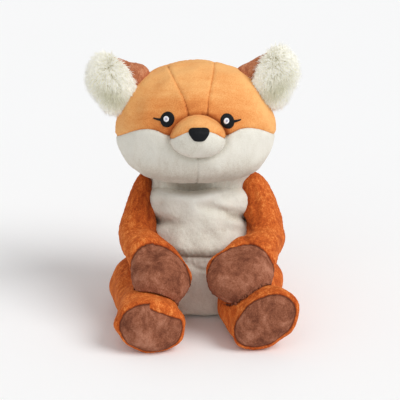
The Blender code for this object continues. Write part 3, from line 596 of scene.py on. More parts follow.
# %% Where one piece rests on another
def keep_clear(points, other, gap, reach=0.012):
    """Moves points that lie inside another skin, or nearer than gap, out of it.

    The way out and the depth are means over the other skin's points, weighted by
    exp(-(distance^2 - nearest^2) / (2 mm)^2), so the print that it leaves is smooth.
    """
    low, high = other.points.min(0) - reach, other.points.max(0) + reach
    near = np.where(((points > low) & (points < high)).all(1))[0]
    box_low, box_high = points[near].min(0) - reach, points[near].max(0) + reach
    chosen = np.where(((other.points > box_low) & (other.points < box_high)).all(1))[0]
    surface, normals = other.points[chosen], other.normals()[chosen]
    moved = points.copy()
    for part in np.array_split(near, max(1, len(near) // 1500)):
        offset = moved[part][:, None] - surface[None]
        away = (offset**2).sum(-1)
        weight = np.exp(-(away - away.min(1, keepdims=True)) / 0.0020**2)
        weight /= weight.sum(1, keepdims=True)
        out = unit(weight @ normals)
        depth = (weight * (offset * normals[None]).sum(-1)).sum(1)
        moved[part] += out * np.clip(gap - depth, 0, None)[:, None]
    return moved

# %% Making an object of a skin
COVER_THICKNESS = 0.0022


def add_skin(name, skin, finish, nodes, thickness=COVER_THICKNESS):
    """A piece of fabric: the skin's mesh, given its thickness inwards, which stands for the CAD nodes."""
    mesh = bpy.data.meshes.new(name)
    mesh.vertices.add(len(skin.points))
    mesh.vertices.foreach_set("co", skin.points.astype(np.float32).ravel())
    mesh.loops.add(skin.triangles.size)
    mesh.loops.foreach_set("vertex_index", skin.triangles.astype(np.int32).ravel())
    mesh.polygons.add(len(skin.triangles))
    mesh.polygons.foreach_set("loop_start", np.arange(0, skin.triangles.size, 3, dtype=np.int32))
    mesh.update(calc_edges=True)
    mesh.validate()
    mesh.shade_smooth()
    mesh.materials.append(finish)
    if "shade" in skin.marks:
        layer = mesh.attributes.new("shade", "FLOAT", "POINT")
        layer.data.foreach_set("value", skin.marks["shade"].astype(np.float32))
    piece = bpy.data.objects.new(name, mesh)
    bpy.context.scene.collection.objects.link(piece)
    if thickness:
        wall = piece.modifiers.new("thickness", "SOLIDIFY")
        wall.thickness = thickness
        wall.offset = -1.0
    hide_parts(*nodes)
    print(f"{name}: {len(skin.triangles)} triangles")
    return piece

# %% [markdown]
# ## Torso
#
# The torso is a soft egg that sits on the floor. Its front is cream in two panels, whose seam lies under
# the overhang of the upper belly, and its back and sides are orange. Under the arms the cream fabric is
# gathered into two deep folds, which open towards the arms like pockets, with a few faint ones between them.
# They are creases along paths measured on the photograph, with painted shade along them. A cloth simulation
# would gather the fabric too, but not in the places where the real one lies. Under the chin the fabric is
# pushed in to a lens that painted shade makes dark, and the chest swells in a ledge below it, which painted
# light makes pale. Painted shade also lies on the belly above its seam. Whatever would hang below the floor
# is pressed flat on it.

# %% The torso's form
FLOOR_CUT = 0.0005
TORSO_WIDTH, TORSO_DEPTH, TORSO_HEIGHT = 0.144, 0.120, 0.144
SIDE_SEAM_Y = -0.0060
BELLY_SEAM_Z = 0.0724
TORSO_OVALS = ((0.028, 0.87, 0.97, 0.01), (0.250, 1.00, 1.00, 0.02), (0.530, 0.97, 0.96, 0.03),
               (0.790, 0.88, 0.78, 0.04), (0.950, 0.80, 0.62, 0.05))
CHIN_LENS, CHIN_LENS_HALF = (-0.0125, 0.1464), (0.0270, 0.0085)
LEDGE_Z, LEDGE_DEPTH = 0.1345, 0.0028
# Each fold: its path as x and z, its depth and width, whether it is a pocket, and how much painted shade it
# has.
BELLY_FOLDS = (
    (((-0.056, 0.1040), (-0.045, 0.1065), (-0.032, 0.1080), (-0.018, 0.1085), (-0.006, 0.1075)),
     0.0090, 0.0058, True, 1.00),
    (((0.058, 0.1060), (0.046, 0.1115), (0.033, 0.1175), (0.016, 0.1240), (-0.004, 0.1275)),
     0.0085, 0.0052, True, 0.80),
    (((0.044, 0.1125), (0.030, 0.1190), (0.012, 0.1250), (-0.006, 0.1270)), 0.0030, 0.0048, False, 0.25),
    (((-0.052, 0.1180), (-0.046, 0.1240), (-0.042, 0.1320)), 0.0022, 0.0040, False, 0.30),
    (((-0.018, 0.0960), (0.002, 0.0990), (0.022, 0.0970)), 0.0010, 0.0050, False, 0.12),
    (((0.050, 0.0950), (0.036, 0.1000), (0.018, 0.1030)), 0.0014, 0.0040, False, 0.20),
    (((-0.014, 0.0670), (-0.004, 0.0600), (0.006, 0.0585), (0.015, 0.0640)), 0.0020, 0.0028, False, 0.35),
)


def torso_form():
    """Level ovals over one another: height, half width, half depth and how far back each one lies."""
    sections = [section((0, back * TORSO_DEPTH, high * TORSO_HEIGHT - FLOOR_CUT),
                        (wide * TORSO_WIDTH / 2, 0, 0), (0, deep * TORSO_DEPTH / 2, 0))
                for high, wide, deep, back in TORSO_OVALS]
    start = (0, sections[0][1], -FLOOR_CUT)
    return Form(sections, start, (0, sections[-1][1], TORSO_HEIGHT))


def behind_side_seam(points):
    """How far back of the side seam: it stands upright, and slants back by 13 mm over the shoulder."""
    return points[:, 1] - SIDE_SEAM_Y - 0.013 * eased(ramp(points[:, 2], 0.112, 0.146))


def under_chin(points):
    """The hollow under the chin, a lens: 1.2 - x^2 - z^2, held to 0 to 1, with x and z in half sizes."""
    x, z = ((points[:, [0, 2]] - CHIN_LENS) / CHIN_LENS_HALF).T
    return np.clip(1.2 - x**2 - z**2, 0, 1) * (points[:, 1] < 0)


print("torso", TORSO_WIDTH, "x", TORSO_DEPTH, "x", TORSO_HEIGHT, "m")

# %% Torso covers
def dressed_torso():
    """The torso's skin with its overhang, its seams and folds, and the hollow and ledge under the chin."""
    skin = torso_form().skin(spacing=0.0013)
    front = ramp(skin.points[:, 1], SIDE_SEAM_Y, SIDE_SEAM_Y - 0.02)
    behind, over = behind_side_seam(skin.points), skin.points[:, 2] - BELLY_SEAM_Z
    skin.marks = {"behind": behind, "over": over}
    overhang = 0.0026 * bell(over - 0.008, 0.010) - 0.0022 * bell(over + 0.004, 0.007)
    skin.push(nap(skin.points, 11, lumps=0.0008) + overhang * front)
    sew(skin, behind)
    sew(skin, np.where(front > 0, over, 1.0), depth=0.0018, width=0.0022, dark=0.6, line=0.0011)
    sew(skin, np.where(skin.points[:, 1] > 0, skin.points[:, 0], 1.0), depth=0.0010)
    skin.push(sum(fold(skin, *folds) for folds in BELLY_FOLDS) - 0.004 * under_chin(skin.points))
    sag = 4.0 * (skin.points[:, 0] - CHIN_LENS[0]) ** 2
    ledge = bell(skin.points[:, 2] - LEDGE_Z - sag, 0.0045) * front
    skin.push(LEDGE_DEPTH * ledge)
    # Painted shade on the hollow and on the belly above its seam, painted light on the ledge and the chest.
    skin.darken(0.75 * under_chin(skin.points) - 0.6 * ledge)
    skin.darken(-0.40 * front * ramp(skin.points[:, 2], 0.112, 0.124))
    skin.darken(0.60 * front * bell(over - 0.004, 0.007) * (over > 0))
    skin.points[:, 2] = np.maximum(skin.points[:, 2], 0.0)
    return skin


torso_skin = dressed_torso()
back_part, front_part = torso_skin.split("behind")
upper_part, lower_part = front_part.split("over")
torso_back = add_skin("torso_back_cover", back_part, BODY_ORANGE,
                      ("back_panel", "torso_stuffing", "bead_pouch"))
belly_upper = add_skin("belly_upper_cover", upper_part, CREAM, ("belly_upper_panel",))
belly_lower = add_skin("belly_lower_cover", lower_part, CREAM, ("belly_lower_panel",))
for piece in (torso_back, belly_upper, belly_lower):
    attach(piece, "torso")

# %% [markdown]
# ## Neck
#
# The head's opening is sewn to the torso's, and the fabric gathers between them in a short sleeve as wide
# as the shoulders, with 34 gathers all round. In front it lies deep under the chin, where it shows as part
# of the dark lens.

# %% Neck
NECK = np.array([0.0, 0.006, 0.146])
NECK_HALF_HEIGHT = 0.024
NECK_OVALS = ((-0.018, 0.0580, 0.030, 0.010), (-0.006, 0.0590, 0.029, 0.009),
              (0.006, 0.0590, 0.029, 0.007), (0.016, 0.0540, 0.026, 0.005))
GATHERS, GATHER_DEPTH = 34, 0.0008
neck_ovals = [section((0, back, NECK[2] + high), (wide, 0, 0), (0, deep, 0))
              for high, wide, deep, back in NECK_OVALS]
neck_form = Form(neck_ovals, NECK - (0, 0, NECK_HALF_HEIGHT), NECK + (0, 0, NECK_HALF_HEIGHT))
neck_skin = neck_form.skin(spacing=0.0016)
neck_skin.marks = {"behind": behind_side_seam(neck_skin.points)}
around = np.arctan2(neck_skin.points[:, 1] - NECK[1], neck_skin.points[:, 0])
neck_skin.push(GATHER_DEPTH * np.cos(GATHERS * around))
# Painted shade on the neck's front and in the hollow under the chin.
in_front = ramp(neck_skin.points[:, 1], -0.010, -0.020)
neck_skin.darken(0.30 * in_front + 0.6 * under_chin(neck_skin.points))
neck_back, neck_front = neck_skin.split("behind")
for name, part, finish, slot in (("neck_front", neck_front, CREAM, "cream_plush"),
                                 ("neck_back", neck_back, BODY_ORANGE, "orange_plush")):
    gather = add_skin(name, part, finish, ("neck_plug",))
    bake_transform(gather)

# %% [markdown]
# ## Head
#
# The head is wider than high and leans back by 10 degrees. It is worked out in its own frame, whose
# origin is the middle of the neck, and then placed. Its seams are paths on the front view: the cheek seam
# falls away from the eyes, the two forehead seams run down to the muzzle, and a seam joins the cheeks
# under the chin. Behind the ears one seam goes over the top from side to side. Around the muzzle the face is
# drawn in to a crease, which painted shade darkens. Painted light makes the pile pale on the brow and at its
# sides, and painted shade darkens the cheeks towards the chin.

# %% The head's frame and form
TIP_BACK, TURN = math.radians(10.0), math.radians(2.3)
HEAD_TURN = np.array(Matrix.Rotation(TURN, 3, "Z") @ Matrix.Rotation(-TIP_BACK, 3, "X"))
HEAD_HALF = np.array([0.0887, 0.0690, 0.0680])
HEAD_MIDDLE = np.array([-0.0050, -0.0188, 0.0662])
HEAD_OVALS = ((-0.900, 0.56, 0.48, 0.12), (-0.620, 0.88, 0.82, 0.07), (-0.140, 1.00, 1.00, 0.00),
              (0.340, 0.905, 0.93, 0.00), (0.780, 0.61, 0.66, 0.00))


def in_place(points):
    """From the head's frame to the model's: turned, then moved to the neck."""
    return points @ HEAD_TURN.T + NECK


def head_form():
    """Level ovals over one another: height, half width, half depth and how far ahead each one lies."""
    sections = []
    for high, wide, deep, ahead in HEAD_OVALS:
        centre = HEAD_MIDDLE + HEAD_HALF * (0, -ahead, high)
        sections.append(section(centre, (wide * HEAD_HALF[0], 0, 0), (0, deep * HEAD_HALF[1], 0)))
    return Form(sections, HEAD_MIDDLE - (0, 0, HEAD_HALF[2]), HEAD_MIDDLE + (0, 0, HEAD_HALF[2]))

# %% The head's seams
CHEEK_SEAM = smooth_path([(-0.15, -0.16), (0.00, -0.18), (0.32, -0.14), (0.54, -0.03), (0.75, -0.06),
                          (1.00, -0.21)], 80) * HEAD_HALF[[0, 2]]
FOREHEAD_SEAMS = {sign: smooth_path([(-0.20, 0.08), (0.25, 0.12), (0.55, wide), (1.10, top)], 60)
                  * HEAD_HALF[[2, 0]] for sign, wide, top in ((1, 0.15, 0.26), (-1, 0.20, 0.42))}
MUZZLE_WIDTH, MUZZLE_HEIGHT, MUZZLE_REACH = 0.0576, 0.0442, 0.030
MUZZLE_FRONT = HEAD_MIDDLE - (0, HEAD_HALF[1], 0.0088)
EAR_SEAM_Y = HEAD_MIDDLE[1] + 0.10 * HEAD_HALF[1]


def over_cheek(points):
    """How far a point lies over the cheek seam, which is the same on both sides."""
    aside = np.abs(points[:, 0] - HEAD_MIDDLE[0])
    return points[:, 2] - HEAD_MIDDLE[2] - np.interp(aside, CHEEK_SEAM[:, 0], CHEEK_SEAM[:, 1])


def outside_forehead(points, sign):
    """How far a point lies outwards of the forehead seam on one side."""
    seam = FOREHEAD_SEAMS[sign]
    height = points[:, 2] - HEAD_MIDDLE[2]
    return sign * (points[:, 0] - HEAD_MIDDLE[0]) - np.interp(height, seam[:, 0], seam[:, 1])


def muzzle_taper(height):
    """The muzzle's width at a height from -1 at its bottom to 1 at its top: 1 - 0.11 * height, as an egg."""
    return 1.0 - 0.11 * np.clip(height, -1, 1)


def beside_muzzle(points):
    """In the front view, how far a point lies outside the muzzle's oval."""
    z = (points[:, 2] - MUZZLE_FRONT[2]) / (MUZZLE_HEIGHT / 2)
    x = (points[:, 0] - MUZZLE_FRONT[0]) / (MUZZLE_WIDTH / 2) / muzzle_taper(z)
    return (np.hypot(x, z) - 1) * MUZZLE_HEIGHT / 2


print("muzzle", MUZZLE_WIDTH, "x", MUZZLE_HEIGHT, "m")

# %% The head's skin
def dressed_head():
    """The head's skin with its seams, the crease around the muzzle, and its dark and pale places."""
    skin = head_form().skin(spacing=0.00125)
    p = skin.points
    front, cheek = p[:, 1] < EAR_SEAM_Y, over_cheek(p)
    over = front & (cheek > 0)
    skin.marks = {"behind": p[:, 1] - EAR_SEAM_Y, "cheek": cheek, "side": p[:, 0] - HEAD_MIDDLE[0],
                  "left": outside_forehead(p, 1), "right": outside_forehead(p, -1)}
    near_muzzle = np.where(front, beside_muzzle(p), 1)
    tall = (p[:, 2] - HEAD_MIDDLE[2]) / HEAD_HALF[2]
    skin.push(nap(p, 21, lumps=0.0005, tufts=0.00006))
    sew(skin, skin.marks["behind"], puckers=0.00015)
    sew(skin, np.where(front, cheek, 1), depth=0.0012, width=0.0018, puckers=0.00015, dark=0.6, line=0.0011)
    for side in ("left", "right"):
        sew(skin, np.where(over, skin.marks[side], 1), depth=0.0011, width=0.0018, puckers=0.00010,
            dark=0.75, line=0.0008)
    sew(skin, np.where(front & (cheek < 0), skin.marks["side"], 1), depth=0.0008, width=0.0016,
        puckers=0.0001, dark=0.2)
    # The crease is shallower above the muzzle. It is darkened with painted shade, most of all on the left
    # side of the bridge, and so is the brow near the muzzle.
    above = ramp(p[:, 2] - MUZZLE_FRONT[2], 0, MUZZLE_HEIGHT / 2)
    skin.push(-0.0040 * bell(near_muzzle, 0.0042) * (1 - 0.6 * above**2))
    skin.darken(0.50 * bell(near_muzzle, 0.0036) + np.where(over, 0.35 * bell(near_muzzle, 0.018), 0))
    left_bridge = over & (skin.marks["side"] > 0.004)
    skin.darken(np.where(left_bridge, 0.40 * bell(near_muzzle - 0.001, 0.0028), 0))
    # Painted light makes the brow pale towards its top and its sides, and painted shade darkens the
    # cheeks towards the chin.
    rim = ramp(np.abs(skin.marks["side"]), 0.045, 0.075)
    skin.darken(np.where(cheek > 0, -1.0 * ramp(tall, 0.15, 0.90) - 0.7 * rim, 0))
    skin.darken(np.where(cheek < 0, 0.75 * ramp(tall, -0.42, -0.82) - 0.30, 0))
    return skin

# %% Head covers
head_skin = dressed_head()
head_back, head_front = head_skin.split("behind")
brow, jowls = head_front.split("cheek")
face_left, rest = brow.split("left")
face_right, gusset = rest.split("right")
cheek_left, cheek_right = jowls.split("side")
for name, part, finish, slot, nodes in (
        ("head_back_cover", head_back, HEAD_ORANGE, "head_plush", ("head_back_panel", "head_stuffing")),
        ("face_left_cover", face_left, HEAD_ORANGE, "head_plush", ("face_left_panel",)),
        ("face_right_cover", face_right, HEAD_ORANGE, "head_plush", ("face_right_panel",)),
        ("forehead_cover", gusset, HEAD_ORANGE, "head_plush", ("forehead_gusset",)),
        ("cheek_left_cover", cheek_left, CREAM, "cream_plush", ("cheek_left_panel",)),
        ("cheek_right_cover", cheek_right, CREAM, "cream_plush", ("cheek_right_panel",))):
    part.points = in_place(part.points)
    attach(add_skin(name, part, finish, nodes), "head")

# %% [markdown]
# ## Muzzle
#
# The muzzle is a short thimble sewn on the face: an orange bridge over a cream lower part. It narrows
# upwards a little, like an egg. The seam starts beside the nose and falls towards both cheeks. Painted shade
# darkens the pile where the muzzle meets the face, and painted light makes it pale on its upper side.

# %% Muzzle
MUZZLE_OVALS = ((-0.80, 0.96), (0.05, 1.00), (0.66, 0.80))
BRIDGE_SEAM_RISE, BRIDGE_SEAM_FALL = 0.0097, 0.0110


def muzzle_form():
    """Upright ovals from inside the head to the tip: how far ahead each one lies, and its size."""
    sections = [section(MUZZLE_FRONT - (0, place * MUZZLE_REACH, 0), (size * MUZZLE_WIDTH / 2, 0, 0),
                        (0, 0, size * MUZZLE_HEIGHT / 2))
                for place, size in MUZZLE_OVALS]
    return Form(sections, MUZZLE_FRONT + (0, MUZZLE_REACH, 0), MUZZLE_FRONT - (0, MUZZLE_REACH, 0))


def over_bridge_seam(points):
    """Height over the muzzle's seam, which lies at rise - fall * out^2, for out as the share of the way."""
    out = (points[:, 0] - MUZZLE_FRONT[0]) / (MUZZLE_WIDTH / 2)
    return points[:, 2] - MUZZLE_FRONT[2] - BRIDGE_SEAM_RISE + BRIDGE_SEAM_FALL * out**2


muzzle_skin = muzzle_form().skin(spacing=0.0009)
tapered = muzzle_taper((muzzle_skin.points[:, 2] - MUZZLE_FRONT[2]) / (MUZZLE_HEIGHT / 2))
muzzle_skin.points[:, 0] = mix(MUZZLE_FRONT[0], muzzle_skin.points[:, 0], tapered)
muzzle_skin.marks = {"bridge": over_bridge_seam(muzzle_skin.points)}
# Painted shade where the muzzle meets the face, painted light on its upper side.
set_back = ramp(muzzle_skin.points[:, 1] - MUZZLE_FRONT[1], -0.010, 0.0)
upward = np.clip(unit(muzzle_skin.normals())[:, 2], 0, 1)
muzzle_skin.darken(0.45 * set_back - 0.9 * upward)
muzzle_skin.push(nap(muzzle_skin.points, 31, lumps=0.0003, tufts=0.00006))
sew(muzzle_skin, muzzle_skin.marks["bridge"], depth=0.0009, width=0.0013, puckers=0.0001, dark=0.6,
    line=0.0009)
bridge, lower = muzzle_skin.split("bridge")
for name, part, finish, slot, nodes in (
        ("muzzle_bridge_cover", bridge, HEAD_ORANGE, "head_plush", ("muzzle_bridge", "muzzle_stuffing")),
        ("muzzle_lower_cover", lower, CREAM, "cream_plush", ("muzzle_lower",))):
    part.points = in_place(part.points)
    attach(add_skin(name, part, finish, nodes), "head")

# %% [markdown]
# ## Nose, eyes and lashes
#
# They are embroidered: a dense pad of thread that stands a millimetre off the pile and follows the face.
# So each is a flat outline on the front view, filled with rings that shrink towards its middle. Every point
# is laid on the skin at its place, and raised in a low dome.

# %% Embroidery
def laid_on(flat, skin, reach=0.0015):
    """Where points of the front view lie on a skin, and the normals there.

    It is a mean of the tangent planes of nearby front-facing points, weighted by exp(-(distance / reach)^2).
    """
    normals = skin.normals()
    near = (normals[:, 1] < -0.2) & (np.abs(skin.points[:, [0, 2]] - flat.mean(0)).max(1) < 0.03)
    p, n = skin.points[near], normals[near]
    offset = flat[:, None] - p[None][:, :, [0, 2]]
    weight = np.exp(-(offset**2).sum(-1) / reach**2) + 1e-12
    weight /= weight.sum(1, keepdims=True)
    planes = p[:, 1] - (offset * n[:, [0, 2]]).sum(-1) / n[:, 1]
    y = (weight * planes).sum(1)
    return np.stack([flat[:, 0], y, flat[:, 1]], 1), unit(weight @ n)


def embroidered(name, outline, rise, skin, finish, nodes, lift=0.0):
    """A pad of thread inside the outline. At r of the way out it stands at lift + rise * sqrt(1 - r^4)."""
    outline = np.asarray(outline, float)
    middle = outline.mean(0)
    share = np.concatenate([np.linspace(0.25, 1, 3), np.linspace(1, 0.08, 11)])
    height = np.concatenate([np.full(3, -0.0012), rise * np.sqrt(1 - np.linspace(1, 0.08, 11) ** 4)])
    rings = (middle + share[:, None, None] * (outline - middle)).reshape(-1, 2)
    base, normals = laid_on(np.vstack([rings, middle[None], middle[None]]), skin)
    stand = np.concatenate([np.repeat(height, len(outline)), [-0.0012, rise]]) + lift
    pad = Skin(base + normals * stand[:, None], closed_grid(len(share), len(outline)))
    pad.points = in_place(pad.points)
    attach(add_skin(name, pad, finish, nodes, thickness=0), "head")


def oval_outline(middle, half_width, half_height, lean=0.0, count=56):
    """Points middle + half_width cos(a) across + half_height sin(a) up, its top leaning to +X by lean."""
    a = np.linspace(0, 2 * np.pi, count, endpoint=False)
    x, z = half_width * np.cos(a), half_height * np.sin(a)
    return np.stack([middle[0] + x * math.cos(lean) + z * math.sin(lean),
                     middle[1] + z * math.cos(lean) - x * math.sin(lean)], 1)


def closed_path(points, count):
    """A smooth closed curve through the points."""
    points = np.asarray(points, float)
    around = smooth_path(np.vstack([points[-2:], points, points[:3]]), count * (len(points) + 4) + 1)
    return around[2 * count:-2 * count - 1:max(1, len(points) // 2)]

# %% Nose
NOSE_HALF = np.array([0.0216, 0.0139]) / 2
NOSE_RISE = 0.0056
NOSE_SHAPE = np.array([(-0.36, -1.00), (0.36, -1.00), (0.66, -0.66), (0.94, -0.02), (1.00, 0.52),
                       (0.74, 0.94), (0.00, 1.00), (-0.74, 0.94), (-1.00, 0.52), (-0.94, -0.02),
                       (-0.66, -0.66)])
nose_middle = MUZZLE_FRONT[[0, 2]] + (0, NOSE_RISE)
nose_outline = closed_path(nose_middle + NOSE_SHAPE * NOSE_HALF, 24)
embroidered("nose_stitching", nose_outline, 0.0026, muzzle_skin, BLACK_THREAD, ("nose",))

# %% Eyes
EYES = {"left": (1, 0.0312, 0.0068), "right": (-1, 0.0321, 0.0091)}
EYE_HALF, GLINT_HALF, HEART_HALF = (0.0072, 0.0084), (0.0029, 0.0031), (0.0012, 0.0013)
EYE_LEAN = math.radians(26.0)
LASH_START, LASH_REACH, LASH_THICKNESS = (0.0062, -0.0006), (0.0086, 0.0080), 0.0027
LASH = np.array([(0.00, 0.00, 0.50), (0.45, 0.06, 0.42), (0.80, 0.14, 0.34), (1.00, 0.20, 0.22)])
for side, (sign, out, rise) in EYES.items():
    middle = HEAD_MIDDLE[[0, 2]] + (sign * out, rise)
    glint = middle + (-0.0010 - 0.0003 * sign, 0.0004)
    heart = oval_outline(glint + (0.0003, 0.0001), *HEART_HALF, count=24)
    embroidered(f"eye_{side}_stitching", oval_outline(middle, *EYE_HALF, -sign * EYE_LEAN), 0.0013,
                head_skin, BLACK_THREAD, (f"eye_{side}",), lift=0.0003)
    embroidered(f"glint_{side}_stitching", oval_outline(glint, *GLINT_HALF), 0.0007, head_skin,
                WHITE_THREAD, (f"eye_glint_{side}",), lift=0.0014)
    embroidered(f"glint_{side}_heart", heart, 0.0006, head_skin,
                LILAC_THREAD, (f"eye_glint_{side}",), lift=0.0021)
    start, reach = np.array(LASH_START) * (sign, 1), np.array(LASH_REACH) * (sign, 1)
    spine = middle + start + LASH[:, :2] * reach
    half = LASH[:, 2:] * LASH_THICKNESS
    lash = closed_path(np.vstack([spine - half * (0, 1), (spine + half * (0, 1))[::-1]]), 12)
    embroidered(f"lash_{side}_stitching", lash, 0.0008, head_skin, BLACK_THREAD,
                (f"eyelash_{side}",), lift=0.0002)

# %% [markdown]
# ## Ears
#
# Each ear has a short-piled brown back and a front of long cream fur, which hides the seam between them.
# The ear is a bowl: ovals that rise from the head along its upright direction. The fur grows on the front
# oval as twelve thousand tapered strands. Near the middle they stand forward, and near the rim they lie
# outwards, so that their tips make the ear's soft outline. Strands that start close together bend towards
# the same tip, which parts the fur into locks. The two ears are turned differently in the photograph, so
# each has its own shift aside of the brown back and of the fur.

# %% Fur strands
STRAND_POINTS = 10


def strands(roots, directions, lengths, width, seed):
    """Three-sided tapered strands: at share s along, a strand stands at root + direction * s + bend * s^2."""
    dice = np.random.default_rng(seed)
    share = np.array([-0.12, 0.38, 0.76])
    bend = dice.normal(size=roots.shape) * 0.10 - (0, 0, 0.22)
    side = unit(np.cross(directions, dice.normal(size=roots.shape)))
    other = np.cross(unit(directions), side)
    turn = np.arange(3) * 2 * np.pi / 3
    ring = side[:, None] * np.cos(turn)[None, :, None] + other[:, None] * np.sin(turn)[None, :, None]
    s = share[None, :, None]
    spine = roots[:, None] + lengths[:, None, None] * (directions[:, None] * s + bend[:, None] * s**2)
    taper = width * np.array([1.0, 0.90, 0.55])
    rings = spine[:, :, None] + ring[:, None] * taper[None, :, None, None]
    tips = roots + lengths[:, None] * (directions + bend)
    points = np.concatenate([rings.reshape(len(roots), -1, 3), tips[:, None]], axis=1)
    one = []
    for level in range(2):
        for k in range(3):
            a, b = 3 * level + k, 3 * level + (k + 1) % 3
            one += [(a, b, b + 3), (a, b + 3, a + 3)]
    one += [(6 + k, 6 + (k + 1) % 3, 9) for k in range(3)] + [(0, 2, 1)]
    triangles = np.array(one)[None] + STRAND_POINTS * np.arange(len(roots))[:, None, None]
    shares = np.tile(np.concatenate([np.repeat(share, 3), [1.0]]), len(roots))
    shades = np.repeat(dice.uniform(0, 1, len(roots)), STRAND_POINTS)
    return points.reshape(-1, 3), triangles.reshape(-1, 3), shares, shades


def in_locks(values, places, seed, pull, size=0.0045):
    """Draws each row towards the row of its lock's middle, the nearest of points drawn at random."""
    dice = np.random.default_rng(seed)
    count = max(8, int(np.prod(np.ptp(places, axis=0)[:2] + 0.01) / size**2))
    middles = places[dice.choice(len(places), count, replace=False)]
    nearest = np.argmin(((places[:, None] - middles[None]) ** 2).sum(-1), axis=1)
    mean = np.stack([np.bincount(nearest, values[:, k], count) for k in range(3)], 1)
    mean /= np.maximum(np.bincount(nearest, minlength=count), 1)[:, None]
    return values * (1 - pull) + mean[nearest] * pull


def add_attributes(piece, **values):
    """One number per point of the piece under each name, which its material reads."""
    for name, numbers in values.items():
        layer = piece.data.attributes.new(name, "FLOAT", "POINT")
        layer.data.foreach_set("value", np.asarray(numbers, np.float32))

# %% Ears
EAR_HEIGHT, EAR_THICKNESS, EAR_SINK = 0.066, 0.032, 0.008
EAR_ASIDE, EAR_FORWARD, EAR_BACK = 0.011, 0.014, 0.0044
EAR_FACE_OUT = math.radians(22.0)
EARS = {"left": (1, 0.056, math.radians(28.0), math.radians(44.0)),
        "right": (-1, 0.056, math.radians(24.4), math.radians(36.0))}
EAR_OVALS = ((0.05, 1.00, 0.95, 0.0, 0.0), (0.42, 0.88, 1.00, 0.0, 0.0), (0.82, 0.56, 0.70, -0.10, 0.0))
FUR_OVALS = ((0.20, 0.70, 0.90, 0.30, 1.0), (0.50, 0.84, 1.00, -0.15, 1.0), (0.85, 0.72, 0.80, -0.60, 0.80))
BACK_ASIDE = {"left": 0.32, "right": 0.05}
FUR_ASIDE = {"left": 0.0, "right": -0.22}
print("ears", list(EARS))


def ear_frame(side):
    """Where an ear leaves the head, and its own directions: upright, across, and out of its face."""
    sign, length, place, upright = EARS[side]
    toward = np.array([sign * math.cos(place), 0, math.sin(place)])
    heart = HEAD_MIDDLE + (0, EAR_BACK, 0)
    reach = (head_skin.points - heart) @ toward
    aside = np.linalg.norm(head_skin.points - heart - reach[:, None] * toward, axis=1)
    spot = np.argmin(np.where(reach > 0, aside, 1.0))
    root = heart + toward * (reach[spot] - EAR_SINK)
    along = np.array([sign * math.cos(upright), 0.0, math.sin(upright)])
    outward = np.array([sign * math.sin(upright), 0.0, -math.cos(upright)])
    forward = np.array([0.0, -1.0, 0.0])
    facing = forward * math.cos(EAR_FACE_OUT) + outward * math.sin(EAR_FACE_OUT)
    across = outward * math.cos(EAR_FACE_OUT) - forward * math.sin(EAR_FACE_OUT)
    return root, along * length, across, facing


def ear_form(side, rows, width, thickness):
    """Ovals up the ear: how far out, half width, half thickness, and how far aside and forward."""
    root, along, across, facing = ear_frame(side)
    sections = [section(root + along * out + across * aside * EAR_ASIDE + facing * ahead * EAR_FORWARD,
                        across * wide * width / 2, facing * thick * thickness / 2)
                for out, wide, thick, aside, ahead in rows]
    tip = root + along + across * rows[-1][3] * EAR_ASIDE
    return Form(sections, root - unit(along) * EAR_SINK, tip)


def shifted(rows, aside):
    """The same ovals, all moved aside by that share."""
    return tuple((*row[:3], row[3] + aside, row[4]) for row in rows)


# %% Growing the fur
def grow_fur(side, pad, count, seed):
    """Strands on the pad's outer face: where they start, which way they point, how long and how pale."""
    root, along, across, facing = ear_frame(side)
    dice = np.random.default_rng(seed)
    normals = unit(pad.normals())
    a, b, c = (pad.points[pad.triangles[:, k]] for k in range(3))
    area = np.linalg.norm(np.cross(b - a, c - a), axis=1)
    looks = unit(normals[pad.triangles].mean(1)) @ facing
    odds = area * np.clip(looks + 0.35, 0, 1)
    chosen = dice.choice(len(area), count, p=odds / odds.sum())
    u, v = np.sqrt(dice.uniform(0, 1, count)), dice.uniform(0, 1, count)
    share = np.stack([1 - u, u * (1 - v), u * v], 1)[:, :, None]
    corners = pad.triangles[chosen]
    places = (pad.points[corners] * share).sum(1)
    skyward = unit((normals[corners] * share).sum(1))
    heart = root + along * 0.50 + facing * 0.004
    spread = places - heart
    spread -= (spread @ facing)[:, None] * facing
    spread /= 0.028
    comb = spread - (spread * skyward).sum(1)[:, None] * skyward
    scatter = 0.18 * dice.normal(size=places.shape)
    directions = unit(0.42 * skyward + 0.42 * comb + (0, -0.05, -0.28) + scatter)
    outline = np.stack([spread @ across, spread @ unit(along)], 1)
    directions = unit(in_locks(directions, outline * 0.028, seed + 1, 0.72))
    lengths = dice.uniform(0.0065, 0.0115, count)
    # Painted shade in the ear's hollow, where the strands are less pale.
    hollow = bell(np.hypot(outline[:, 0] / 0.32, (outline[:, 1] + 0.25) / 0.75), 1.0)
    return places, directions, lengths, np.clip(1.0 - 0.75 * hollow, 0, 1)


